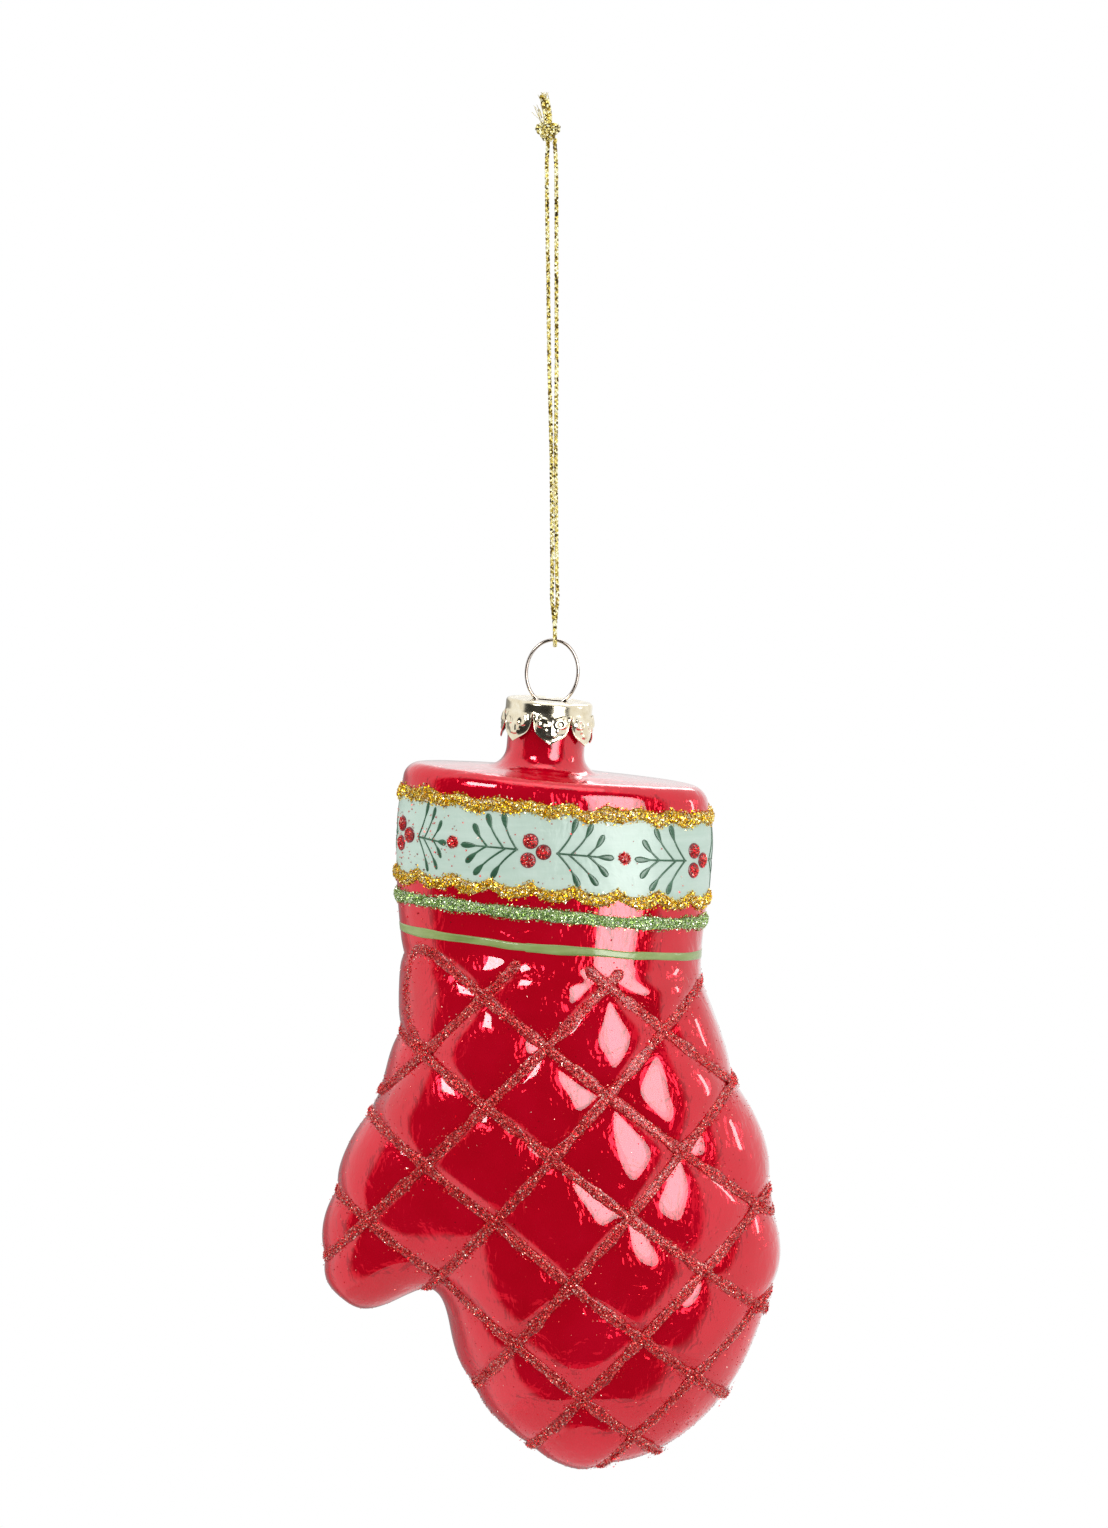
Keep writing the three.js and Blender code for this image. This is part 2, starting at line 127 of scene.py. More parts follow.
# Camera: long lens, level with the cap, looking slightly down
def place_camera():
    distance = 1.2
    elevation = np.radians(5.5)
    sensor_width = 36
    focal_share = 8000 / 1528
    aim = np.array([0.0004, 0.0, -0.09316])
    look = np.array([0.0, np.cos(elevation), -np.sin(elevation)])
    lens = bpy.data.cameras.new("camera")
    lens.sensor_width = sensor_width
    lens.lens = sensor_width * focal_share
    camera = put_in("camera", lens)
    camera.location = aim - look * distance
    camera.rotation_euler = looking(look)
    bpy.context.scene.camera = camera


place_camera()


# Points, paths and meshes
def unit(vectors):
    """Vectors drawn to length 1."""
    return vectors / np.maximum(np.linalg.norm(vectors, axis=-1, keepdims=True), 1e-12)


def points_at(x, y, z):
    """Points from coordinates, each a number or an array."""
    return np.stack(np.broadcast_arrays(x, y, z), -1).astype(float)


def turned(x, z, degrees):
    """x and z as seen from a frame turned about y."""
    cos, sin = np.cos(np.radians(degrees)), np.sin(np.radians(degrees))
    return x * cos + z * sin, z * cos - x * sin


def to_row(points):
    """Mitt frame in millimetres to row frame in metres: turned about y, then moved."""
    x, z = turned(points[..., 0], points[..., 2], hang_tilt)
    return points_at(x + loop_lean, points[..., 1], z - loop_drop) / 1000


def round_turn(count):
    """Angles at even steps round a circle."""
    return np.linspace(0, 2 * np.pi, count, endpoint=False)


def smoothstep(value, low, high):
    """0 below low, 1 above high, and 3t^2 - 2t^3 between them."""
    t = np.clip((value - low) / (high - low), 0, 1)
    return t * t * (3 - 2 * t)


def ripple(places, seed, waves, longest, shortest):
    """Sum of sine waves of seeded direction, length and phase over points, about -1 to 1."""
    chance = np.random.default_rng(seed)
    heading = unit(chance.normal(size=(waves, places.shape[-1])))
    length = np.geomspace(longest, shortest, waves)
    phase = chance.uniform(0, 2 * np.pi, waves)
    weight = length / length.max()
    value = np.sin(2 * np.pi * (places @ heading.T) / length + phase) @ weight
    return value / np.sqrt((weight ** 2).sum() * 2)


def halving(low, high, holds, rounds):
    """Last place between low and high where the test holds, by halving the span again and again."""
    for _ in range(rounds):
        middle = (low + high) / 2
        held = holds(middle)
        low, high = np.where(held, middle, low), np.where(held, high, middle)
    return low


def ring_faces(rows, columns, wrap_rows=False):
    """Four-sided faces between closed rings of equal count."""
    row = np.arange(rows if wrap_rows else rows - 1)[:, None] * columns
    below = (row + columns) % (rows * columns)
    column = np.arange(columns)
    beside = (column + 1) % columns
    return np.stack([row + column, row + beside, below + beside, below + column], -1).reshape(-1, 4)


def looped_body(rings):
    """Closed body from rings of points, the last joined to the first."""
    return rings.reshape(-1, 3), [ring_faces(*rings.shape[:2], wrap_rows=True)]


def ringed_body(rings):
    """Closed body from rings of points: fans of triangles close its ends at their middles."""
    rows, columns = rings.shape[:2]
    column = np.arange(columns)
    beside = (column + 1) % columns
    last = (rows - 1) * columns
    tip = np.full(columns, rows * columns)
    fans = [np.stack([beside, column, tip], -1), np.stack([last + column, last + beside, tip + 1], -1)]
    points = np.concatenate([rings.reshape(-1, 3), rings[[0, -1]].mean(1)])
    return points, [ring_faces(rows, columns), np.concatenate(fans)]


def joined(parts):
    """Several (points, faces) as one, with the corner numbers moved on."""
    parts = list(parts)
    starts = np.cumsum([0] + [len(points) for points, _ in parts[:-1]])
    points = np.concatenate([points for points, _ in parts])
    return points, [block + start for start, (_, blocks) in zip(starts, parts) for block in blocks]


def volume_of(points, faces):
    """Enclosed volume: the sum of the tetrahedra from the origin to each face's triangles."""
    total = 0.0
    for block in faces:
        for k in range(1, block.shape[1] - 1):
            a, b, c = points[block[:, 0]], points[block[:, k]], points[block[:, k + 1]]
            total += np.einsum("ij,ij->i", a, np.cross(b, c)).sum() / 6
    return total


def lay_piece(name, body, shape, *materials, stands_for=None, slot=None, shade=None, inner_from=None):
    """Puts points and faces into a mesh object, faces outwards, and parents it to its body's empty.

    The cord's points are in the row frame, all others in the mitt's. Grains have a tone for each point,
    shade, and flat faces. Faces from number inner_from on take the second material."""
    points, faces = shape
    points = points / 1000 if body == "cord" else to_row(points)
    if volume_of(points, faces) < 0:
        faces = [block[:, ::-1] for block in faces]
    mesh = bpy.data.meshes.new(name)
    corners = [face for block in faces for face in block.tolist()]
    mesh.from_pydata(points.tolist(), [], corners, shade_flat=shade is not None)
    if inner_from is not None:
        mesh.polygons.foreach_set("material_index", (np.arange(len(corners)) >= inner_from).astype(np.int32))
    mesh.validate()
    if shade is not None:
        mesh.attributes.new("shade", "FLOAT", "POINT").data.foreach_set("value", shade.astype(np.float32))
    for material in materials:
        mesh.materials.append(material)
    piece = put_in(name, mesh)
    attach(piece, body)
    if stands_for:
        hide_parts(stands_for)
    return piece


def run_along(path):
    """Distance of each point along its path."""
    return np.concatenate([[0], np.cumsum(np.linalg.norm(np.diff(path, axis=0), axis=1))])


def path_points(path, stations, places):
    """Points of a path at places between its stations."""
    return np.stack([np.interp(places, stations, path[:, k]) for k in range(3)], -1)


def even_steps(path, spacing):
    """The same polyline with points at even distances."""
    run = run_along(path)
    return path_points(path, run, np.linspace(0, run[-1], max(4, int(round(run[-1] / spacing)) + 1)))


def smooth_path(knots, spacing):
    """Centripetal Catmull-Rom curve through the knots at even steps: each span is a cubic from the slopes
    at its ends, and a step of the curve's own time is the square root of the distance of two knots."""
    p = np.vstack([2 * knots[0] - knots[1], knots, 2 * knots[-1] - knots[-2]])
    step = np.sqrt(np.linalg.norm(np.diff(p, axis=0), axis=1))[:, None]
    before, own, after = step[:-2], step[1:-1], step[2:]
    p0, p1, p2, p3 = p[:-3], p[1:-2], p[2:-1], p[3:]
    slope1 = own * ((p1 - p0) / before - (p2 - p0) / (before + own) + (p2 - p1) / own)
    slope2 = own * ((p2 - p1) / own - (p3 - p1) / (own + after) + (p3 - p2) / after)
    t = np.linspace(0, 1, 33)[:-1][None, :, None]
    shares = (2 * t**3 - 3 * t**2 + 1, t**3 - 2 * t**2 + t, 3 * t**2 - 2 * t**3, t**3 - t**2)
    span = sum(share * part[:, None] for share, part in zip(shares, (p1, slope1, p2, slope2)))
    return even_steps(np.vstack([span.reshape(-1, 3), p[-2]]), spacing)


def path_frame(path, reference=(0, 1, 0), closed=False):
    """Tangent, side and top of a path, the side square to the reference."""
    tangent = unit(np.roll(path, -1, 0) - np.roll(path, 1, 0) if closed else np.gradient(path, axis=0))
    side = unit(np.cross(tangent, reference))
    return tangent, side, np.cross(side, tangent)


def tube(path, radius, sides, reference=(0, 1, 0), closed=False):
    """Round tube: circles square to the path, joined into one closed body."""
    _, side, top = path_frame(path, reference, closed)
    angle = round_turn(sides)[None, :, None]
    rings = path[:, None] + radius * (np.cos(angle) * side[:, None] + np.sin(angle) * top[:, None])
    return looped_body(rings) if closed else ringed_body(rings)


# Body of the mitt, as distances
def form_gap(points, form):
    """About the distance to an ellipsoid: reach (reach - 1) / slope, below 0 inside."""
    (x, z), (a, b, c), lean = form
    y = points[..., 1]
    across, along = turned(points[..., 0] - x, points[..., 2] - z, lean)
    reach = np.sqrt((across / a) ** 2 + (y / b) ** 2 + (along / c) ** 2)
    slope = np.sqrt((across / a**2) ** 2 + (y / b**2) ** 2 + (along / c**2) ** 2)
    return reach * (reach - 1) / np.maximum(slope, 1e-9)


def blend_gaps(first, second, blend):
    """Smooth smaller of two distances, with a fillet about as wide as the blend."""
    share = np.clip(0.5 + 0.5 * (second - first) / blend, 0, 1)
    return second * (1 - share) + first * share - blend * share * (1 - share)


def mitt_gap(points):
    """Distance to the smooth body: cuff and hand blended widely, then the thumb at its crotch."""
    palm = blend_gaps(form_gap(points, cuff_form), form_gap(points, hand_form), cuff_blend)
    return blend_gaps(palm, form_gap(points, thumb_form), crotch_blend)


def cast(origin, direction, offset=0.0):
    """Points where rays from inside leave the body grown by offset: strides out, then halvings."""
    stride = 0.5
    origin, direction = np.broadcast_arrays(origin, direction)

    def inside(far):
        return mitt_gap(origin + direction * far[..., None]) < offset

    far = np.full(direction.shape[:-1], stride)
    while (leaving := inside(far)).any():
        far = far + stride * leaving
    return origin + direction * halving(far - stride, far, inside, 20)[..., None]


def body_normal(points):
    """Outward direction of the smooth body, from differences of the distance to it."""
    steps = 0.05 * np.eye(3)
    return unit(np.stack([mitt_gap(points + step) - mitt_gap(points - step) for step in steps], -1))


def seam_share(points, family):
    """Place between the two nearest seams of a family, 0 on one and 1 on the next."""
    step, seams = family
    across, along = turned(points[..., 0] - quilt_centre[0], points[..., 2] - quilt_centre[1], step)
    places = np.stack([place + along * np.tan(np.radians(turn)) for place, turn in seams])
    k = np.clip((across > places[1:-1]).sum(0), 0, len(seams) - 2)[None]
    low, high = np.take_along_axis(places, k, 0)[0], np.take_along_axis(places, k + 1, 0)[0]
    return np.clip((across - low) / (high - low), 0, 1)


def padding(share):
    """Height of the padding over a seam's share: 0 on a seam, 1 half way, round at its edges."""
    return (1 - np.abs(2 * share - 1) ** 2.7) ** 0.72


def puff_relief(points):
    """Height of the quilting: puffs, uneven by a seeded ripple, over sunk seams, fading under the cuff."""
    fade = smoothstep(-points[..., 2], quilt_start, quilt_start + quilt_fade)
    falling, rising = (padding(seam_share(points, family)) for family in seam_families)
    uneven = 0.94 + 0.08 * ripple(points[..., ::2], 21, 6, 30, 11)
    return fade * (puff_height * falling * rising * uneven - seam_sink)


def fan_directions(turn, dip=0.0):
    """Unit directions over the fan's own half sizes, dip 0 level and a quarter turn straight down."""
    return unit(points_at(np.cos(turn) * np.cos(dip), np.sin(turn) * np.cos(dip), -np.sin(dip)) * fan_half)


def level_points(turns, depths, offset=0.0):
    """Points of the body at turns and level depths, cast from its middle line, and their rays."""
    turns, depths = np.broadcast_arrays(turns, depths)
    sink = smoothstep(depths, cuff_bottom, palm_depth)
    middle = cuff_axis + (palm_centre[0] - cuff_axis) * sink
    directions = fan_directions(turns)
    return cast(points_at(middle, 0, -depths), directions, offset), directions


# Glass
glass_columns = 288
glass_turns = round_turn(glass_columns)


def level_rings(depths, offset=0.0):
    """Closed rings of the body at level depths, and their rays."""
    return level_points(glass_turns, depths[:, None], offset)


def hand_blown(points):
    """Uneven blown skin: a seeded ripple of 0.08 mm away from the cuff's middle, none at the neck."""
    wave = 0.08 * ripple(points, 11, 9, 26, 5) * smoothstep(-points[..., 2], 12, 24)
    return points + unit(points - [cuff_axis, 0, -60]) * wave[..., None]


def circle_rings(radii, heights):
    """Rings round the neck, each column over the cuff's own."""
    radii, heights = np.broadcast_arrays(radii, heights)
    rings = radii[:, None, None] * fan_directions(glass_turns)
    rings[..., 2] = heights[:, None]
    return rings


def shoulder_rings():
    """Edge of the shoulder: the cuff's outline drawn in and raised along a quarter round."""
    angle = np.radians(np.linspace(0, 90, 12))
    points, _ = level_rings(shoulder_depth + shoulder_fall + shoulder_round * (1 - np.cos(angle)))
    outward = unit((points - [cuff_axis, 0, 0]) * [1, 1, 0])
    return points - outward * (shoulder_round * (1 - np.sin(angle)))[:, None, None]


def fan_rays(lowest, rows):
    """Rays of the fan from under its level row down to the lowest dip."""
    return fan_directions(glass_turns, np.radians(np.linspace(0, lowest, rows))[1:, None])


def glass_shape():
    """Outer skin from the neck's rim down over shoulder, cuff, quilted hand and thumb, then the inner skin.

    Quilted points move out along their ray by the puff relief. Also gives the number of outer faces."""
    neck_top = -cap_depth - cap_sheet - seat_gap
    bore = neck_radius - glass_wall
    half_wall = glass_wall / 2
    rim_angle = np.radians(np.linspace(-90, 90, 7))
    rim_radii = bore + half_wall * (1 + np.sin(rim_angle))
    rim = circle_rings(rim_radii, neck_top - half_wall * (1 - np.cos(rim_angle)))
    neck = circle_rings(neck_radius, np.linspace(neck_top - 1, flare_radius - shoulder_depth + 0.4, 8))
    flare_angle = np.radians(np.linspace(90, 4, 10))
    flare = circle_rings(
        neck_radius + flare_radius * (1 - np.sin(flare_angle)),
        flare_radius * (1 - np.cos(flare_angle)) - shoulder_depth,
    )
    edge = shoulder_rings()
    share = np.linspace(0, 1, 10)[1:-1, None, None]
    roof = flare[-1] * (1 - share) + edge[0] * share
    cuff_top = shoulder_depth + shoulder_fall + shoulder_round
    cuff, _ = level_rings(np.linspace(cuff_top, quilt_start - 1, 46)[1:])
    palm, palm_way = level_rings(np.linspace(quilt_start - 1, palm_depth, 84)[1:])
    fan_way = fan_rays(88.8, 138)
    hand = np.concatenate([palm, cast(palm_centre, fan_way)])
    hand = hand + np.concatenate([palm_way, fan_way]) * puff_relief(hand)[..., None]
    outer = hand_blown(np.concatenate([rim, neck, flare, roof, edge, cuff, hand]))

    inner_neck = circle_rings(
        [bore, bore, bore + flare_radius / 2],
        [neck_top - 1, flare_radius / 2 - shoulder_depth, -shoulder_depth - glass_wall],
    )
    inner_cuff, _ = level_rings(np.linspace(cuff_top + glass_wall, palm_depth, 14), -glass_wall)
    inner_fan = cast(palm_centre, fan_rays(88.5, 18), -glass_wall)
    inner = np.concatenate([inner_neck, inner_cuff, inner_fan])
    points, (quads, fans) = ringed_body(np.concatenate([inner[::-1], outer]))
    inner_quads = (len(inner) - 1) * glass_columns
    ordered = [quads[inner_quads:], fans[glass_columns:], quads[:inner_quads], fans[:glass_columns]]
    return (points, ordered), len(ordered[0]) + len(ordered[1])


# Glitter
def grains(centres, size, tip, seed, normals=None):
    """Glitter grains: flat double pyramids on three corners, turned at random and tipped off the surface.

    Gives their shape and a random tone of each grain for its points."""
    chance = np.random.default_rng(seed)
    count = len(centres)
    normals = body_normal(centres) if normals is None else normals
    axis = unit(normals + tip * chance.normal(size=(count, 3)))
    side = unit(np.cross(axis, chance.normal(size=(count, 3))))
    top = np.cross(axis, side)
    reach = size * chance.uniform(0.7, 1.25, (count, 1, 1))
    angle = round_turn(3)[None, :, None]
    corners = centres[:, None] + reach * (np.cos(angle) * side[:, None] + np.sin(angle) * top[:, None])
    peaks = centres[:, None] + np.stack([axis, -axis], 1) * 0.3 * reach
    points = np.concatenate([corners, peaks], 1).reshape(-1, 3)
    one = np.array([[0, 1, 3], [1, 2, 3], [2, 0, 3], [1, 0, 4], [2, 1, 4], [0, 2, 4]])
    faces = (one[None] + 5 * np.arange(count)[:, None, None]).reshape(-1, 3)
    return (points, [faces]), np.repeat(chance.uniform(0, 1, count), 5)


# Places of the corner seam: distance in from the thumb side's outline and down from the seams' top
seams_top = -quilt_start - 0.6
corner_places = np.array([
    [4.7, 0.9],
    [3.4, 0.3],
    [2.3, 0.6],
    [1.6, 2.2],
    [1.3, 4.5],
    [1.2, 8.0],
    [1.7, 11.5],
    [3.0, 14.2],
    [4.5, 15.4],
])


def corner_line():
    """Seam that rounds the top corner of the quilting and runs down along the thumb side."""
    inward, down = smooth_path(np.column_stack([corner_places, 0 * corner_places[:, 0]]), 0.1)[:, :2].T
    z = seams_top - down

    def inside(x):
        return mitt_gap(points_at(x, 0, z)) <= 0

    outline = halving(np.full(len(z), quilt_centre[0]), np.full(len(z), -60.0), inside, 24)
    return points_at(outline + inward, 0, z)


def skin_over(line, side):
    """Points of the smooth body straight in front of (side -1) or behind (side 1) a line at y 0."""
    def moved(y):
        return line + points_at(0, side * y, 0)

    half_depth = halving(np.zeros(len(line)), np.full(len(line), 20.0), lambda y: mitt_gap(moved(y)) < 0, 22)
    return moved(half_depth)


def seam_curves():
    """Seams on the front and back of the hand, as curves on the smooth body, and their sides.

    A seam is a line in x and z where it lies inside the body, with points drawn together towards the
    outline, moved in y to the skin."""
    curves = []
    along = np.arange(-80, 80, 0.1)
    for step, seams in seam_families:
        for place, turn in seams:
            x, z = turned(place + along * np.tan(np.radians(turn)), along, -step)
            flat = points_at(quilt_centre[0] + x, 0, quilt_centre[1] + z)
            inside = (mitt_gap(flat) < -0.02) & (flat[:, 2] < seams_top)
            edges = np.flatnonzero(np.diff(np.concatenate([[0], inside, [0]])))
            for first, last in zip(edges[::2], edges[1::2] - 1):
                if last - first < 30:
                    continue
                spots = (first + last) / 2 - (last - first) / 2 * np.cos(np.linspace(0, np.pi, 400))
                line = path_points(flat, np.arange(len(flat)), spots)
                curves += [(skin_over(line, side), side) for side in (-1.0, 1.0)]
    return curves + [(skin_over(corner_line(), -1.0), -1.0)]


seam_half_width = 0.8
seam_fill = 0.3
bed_spacing = 0.4
bed_under = 0.7


def seam_height(points, place):
    """Height of the glue over the smooth body: a level fill, or a thin coat up the puffs' sides."""
    return np.maximum(seam_fill * (1 - 0.35 * place**2), puff_relief(points) + 0.05)


def seam_bed(curve, number):
    """Bed of glue in a seam's groove: a strip of uneven width with rounded ends."""
    path = even_steps(curve, bed_spacing)
    normal = body_normal(path)[:, None]
    across = unit(np.cross(normal[:, 0], path_frame(path)[0]))[:, None]
    run = np.arange(len(path))[:, None] * bed_spacing
    wide = seam_half_width * (1 + 0.3 * ripple(run, 300 + number, 6, 9, 1.1))[:, None, None]
    ends = np.sqrt(np.clip(np.minimum(run, run[::-1]) / 0.9, 0.05, 1))[..., None]
    place = np.array([-1, -0.85, -0.45, 0, 0.45, 0.85, 1])
    top = path[:, None] + across * place[:, None] * wide * ends
    rough = 1 + 0.16 * ripple(run, 500 + number, 6, 5, 0.9)[:, None]
    height = seam_height(top, place) * rough - 0.14 * (np.abs(place) == 1)
    under = path[:, None] + across * np.array([[0.6], [-0.6]]) * wide * ends - normal * bed_under
    return ringed_body(np.concatenate([top + normal * height[..., None], under], 1))


def seam_grains(curves, side, seed):
    """Grains strewn along one side's seams: most in the middle of the bed, a few past its edges."""
    spacing = 0.2
    grains_per_mm = 30
    chance = np.random.default_rng(seed)
    spots, normals = [], []
    for curve in (curve for curve, where in curves if where == side):
        path = even_steps(curve, spacing)
        stations = np.arange(len(path))
        count = int(spacing * len(path) * grains_per_mm)
        place = chance.uniform(0, len(path) - 1, count)
        middle = path_points(path, stations, place)
        normal = body_normal(middle)
        across = unit(np.cross(normal, path_points(path, stations, place + 0.5) - middle + 1e-9))
        sway = 0.12 * ripple(place[:, None] * spacing, seed + len(spots), 5, 6, 1.5)
        wide = np.where(chance.uniform(0, 1, count) < 0.15, 1.2, 0.5)
        drift = np.clip(chance.normal(0, wide) + sway, -2.6, 2.6)
        spot = middle + across * (drift * seam_half_width)[:, None]
        height = seam_height(spot, np.minimum(np.abs(drift), 1)) + chance.uniform(-0.03, 0.13, count)
        spots.append(spot + normal * height[:, None])
        normals.append(normal)
    return grains(np.concatenate(spots), 0.145, 0.85, seed + 1, np.concatenate(normals))


# Bands round the cuff
def cuff_arc():
    """Turns with their distance round the cuff at the painted band, 0 in front, and the whole way round."""
    turns = np.linspace(0, 2 * np.pi, 2001)
    ring, _ = level_points(turns, 30.5)
    run = run_along(ring)
    front = np.flatnonzero((ring[:, 1] < 0) & (ring[:, 0] > 0))[0]
    return turns, run - run[front], run[-1]


arc_turns, arc_runs, arc_length = cuff_arc()


def cuff_points(around, depth, lift):
    """Points of the cuff by distance round it, depth and height over the glass."""
    around, depth, lift = np.broadcast_arrays(around, depth, lift)
    wrapped = (around - arc_runs[0]) % arc_length + arc_runs[0]
    skin, way = level_points(np.interp(wrapped, arc_runs, arc_turns), depth)
    return hand_blown(skin) + way * lift[..., None]


def upper_sway(around):
    """Small even waves, 21 round the cuff, over a slow seeded ripple."""
    return 0.3 * np.sin(2 * np.pi * 21 * around / arc_length) + 0.25 * ripple(around[..., None], 41, 4, 14, 4)


def lower_sway(around):
    """Scallops like a hung garland: sharp peaks up, round sags down."""
    return 1.15 * np.abs(np.sin(np.pi * 19 * (around + 0.4) / arc_length)) ** 0.8 - 0.62


def green_sway(around):
    """A slow seeded ripple alone."""
    return 0.12 * ripple(around[..., None], 43, 4, 20, 5)


upper_band = dict(depth=24.4, half=1.0, sway=upper_sway, tall=0.42, size=0.2, count=6200, seed=51)
lower_band = dict(depth=36.6, half=0.9, sway=lower_sway, tall=0.42, size=0.2, count=6200, seed=53)
green_band = dict(depth=40.0, half=0.88, sway=green_sway, tall=0.36, size=0.17, count=7500, seed=55)


def band_middle(around, band):
    """Depth of a band's middle line round the cuff."""
    return band["depth"] + band["sway"](around)


def band_width(around, band):
    """Half width of a band, thick and thin by turns."""
    return band["half"] * (1 + 0.2 * ripple(around[..., None], band["seed"], 5, 11, 1.6))


def band_bed(band):
    """Bead of glue round the cuff: a crowned section, closed on itself."""
    around = np.linspace(0, arc_length, 420, endpoint=False)[:, None]
    place = np.array([-1, -0.8, -0.4, 0, 0.4, 0.8, 1, 0.5, -0.5])
    lift = np.array([0.02, 0.55, 0.9, 1, 0.9, 0.55, 0.02, -0.3, -0.3]) * band["tall"]
    depth = band_middle(around, band) + place * band_width(around, band)
    rough = 1 + 0.14 * ripple(np.stack(np.broadcast_arrays(around, depth), -1), band["seed"] + 1, 6, 3, 0.7)
    return looped_body(cuff_points(around, depth, lift * rough))


def band_grains(band):
    """Grains all over a band's crown and a little past its edges."""
    chance = np.random.default_rng(band["seed"])
    around = chance.uniform(0, arc_length, band["count"])
    place = np.clip(chance.normal(0, 0.6, band["count"]), -1.3, 1.3)
    depth = band_middle(around, band) + place * band_width(around, band)
    lift = band["tall"] * (1.0 - 0.75 * np.abs(place) ** 2.2) + chance.uniform(-0.02, 0.16, band["count"])
    return grains(cuff_points(around, depth, np.maximum(lift, 0.08)), band["size"], 0.9, band["seed"] + 7)


def paint_shell(top_edge, bottom_edge, rows, thick):
    """Coat of paint round the cuff between two wavy edges, with an inner skin."""
    around = np.linspace(0, arc_length, 300, endpoint=False)[:, None]
    share = np.linspace(0, 1, rows)
    depth = top_edge(around) * (1 - share) + bottom_edge(around) * share
    skins = [cuff_points(around, depth, thick), cuff_points(around, depth[:, ::-1], -0.12)]
    return looped_body(np.concatenate(skins, 1))


# Painted sprigs and berries: places round the cuff of the berry groups and of the single dots
berry_places = (-22.0, 0.0, 26.0, 48.3, 70.7)
dot_places = (-12.9, 13.0, 37.2, 59.5, 82.0)
motif_depth = 30.6
berry_radius = 1.2
berry_tall = 0.34
dot_radius = 0.82
dot_tall = 0.22
root_from_berries = 2.85
sprig_length = 8.6
stroke_half = 0.13
leaf_half = 0.46
leaf_length = 2.9

# Strokes of one sprig: root along the stem, then along and up of the leaf's tip
sprig_strokes = np.array([
    [0.0, 8.6, -0.2],
    [0.2, 2.6, 5.2],
    [2.2, 5.0, 4.9],
    [4.7, 7.1, 3.1],
    [0.2, 3.6, -4.9],
    [1.8, 6.3, -4.4],
    [4.7, 7.6, -2.7],
])

# Middles of the painted berries, three to a group, and of the dots: around the cuff and up
berry_offsets = ((-1.1, 1.45), (0.95, 0.0), (-1.25, -1.45))
berries = [(centre + along, up) for centre in berry_places for along, up in berry_offsets]
dots = [(place, 0.0) for place in dot_places]


def sprig_shapes():
    """Brush strokes: each a bent line from the stem, then a teardrop leaf as of a pressed brush.

    The leaf's half width over its own length t is leaf_half times 2.8 t^1.2 (1 - t)^0.5."""
    shapes = []
    share = np.linspace(0, 1, 40)[:, None]
    place = np.array([-1, -0.6, 0, 0.6, 1, 0.5, -0.5])
    lift = np.array([0.09, 0.14, 0.16, 0.14, 0.09, -0.08, -0.08])
    chance = np.random.default_rng(71)
    for centre, side in ((centre, side) for centre in berry_places for side in (-1, 1)):
        to_dots = [(dot - centre) * side for dot in dot_places]
        room = min([13.0] + [gap for gap in to_dots if gap > 0]) - root_from_berries - berry_radius
        for root, tip_along, tip_up in sprig_strokes:
            tip_along, tip_up = np.array([tip_along, tip_up]) + chance.uniform(-0.2, 0.2, 2)
            bend = 0.09 * np.sin(np.pi * share) * (abs(tip_up) > 1)
            along = root + (tip_along - root) * share + bend * abs(tip_up)
            up = tip_up * share
            heading = unit(np.concatenate([np.gradient(along, axis=0), np.gradient(up, axis=0)], 1))
            t = np.clip(1 - (1 - share) * np.hypot(tip_along - root, tip_up) / leaf_length, 0, 1)
            leaf = leaf_half * 2.8 * t**1.2 * np.sqrt(1 - t)
            half = place * np.maximum(leaf, stroke_half * (1 - 0.25 * share) * (share < 0.97) + 0.02)
            out = root_from_berries + (along - heading[:, 1:] * half) * min(1.0, room / sprig_length)
            depth = motif_depth - (up + heading[:, :1] * half)
            shapes.append(ringed_body(cuff_points(centre + side * out, depth, lift)))
    return joined(shapes)


def drop_shapes(spots, radius, tall):
    """Low round drops on the cuff: rings from the middle out, height falling as a quarter ellipse."""
    share = np.array([0.12, 0.4, 0.65, 0.85, 0.96, 1.0, 1.0])[:, None]
    lift = tall * np.sqrt(np.clip(1 - share**2, 0, 1)) + np.array([0, 0, 0, 0, 0, 0, -0.2])[:, None]
    side, up = radius * share * np.cos(round_turn(22)), radius * share * np.sin(round_turn(22))
    rings = [cuff_points(around + side, motif_depth - height - up, lift + 0.03) for around, height in spots]
    return joined(ringed_body(ring) for ring in rings)


def drop_grains(spots, radius, tall, each, size, seed):
    """Grains on round drops, closer together at the middle."""
    chance = np.random.default_rng(seed)
    middles = np.repeat(np.array(spots), each, 0)
    reach = radius * np.sqrt(chance.uniform(0, 1, len(middles)))
    angle = chance.uniform(0, 2 * np.pi, len(middles))
    lift = tall * np.sqrt(np.clip(1 - (reach / radius / 1.05) ** 2, 0.02, 1)) + 0.05
    around = middles[:, 0] + reach * np.cos(angle)
    depth = motif_depth - middles[:, 1] - reach * np.sin(angle)
    return grains(cuff_points(around, depth, lift), size, 0.7, seed + 1)


def stray_grains():
    """Loose grains on the quilting, many near its seams and few on the puffs."""
    chance = np.random.default_rng(91)
    in_fan, in_palm = 7000, 4000
    turn = chance.uniform(0, 2 * np.pi, in_fan + in_palm)
    fan_way = fan_directions(turn[:in_fan], np.radians(chance.uniform(0, 80, in_fan)))
    palm, palm_way = level_points(turn[in_fan:], chance.uniform(48, 76, in_palm))
    hand = np.concatenate([cast(palm_centre, fan_way), palm])
    hand = hand + np.concatenate([fan_way, palm_way]) * (puff_relief(hand) + 0.02)[:, None]
    nearness = np.maximum(*(np.abs(2 * seam_share(hand, family) - 1) for family in seam_families))
    return grains(hand[nearness > 1 - 0.8 * chance.uniform(0, 1, len(hand)) ** 2.2], 0.115, 0.4, 93)


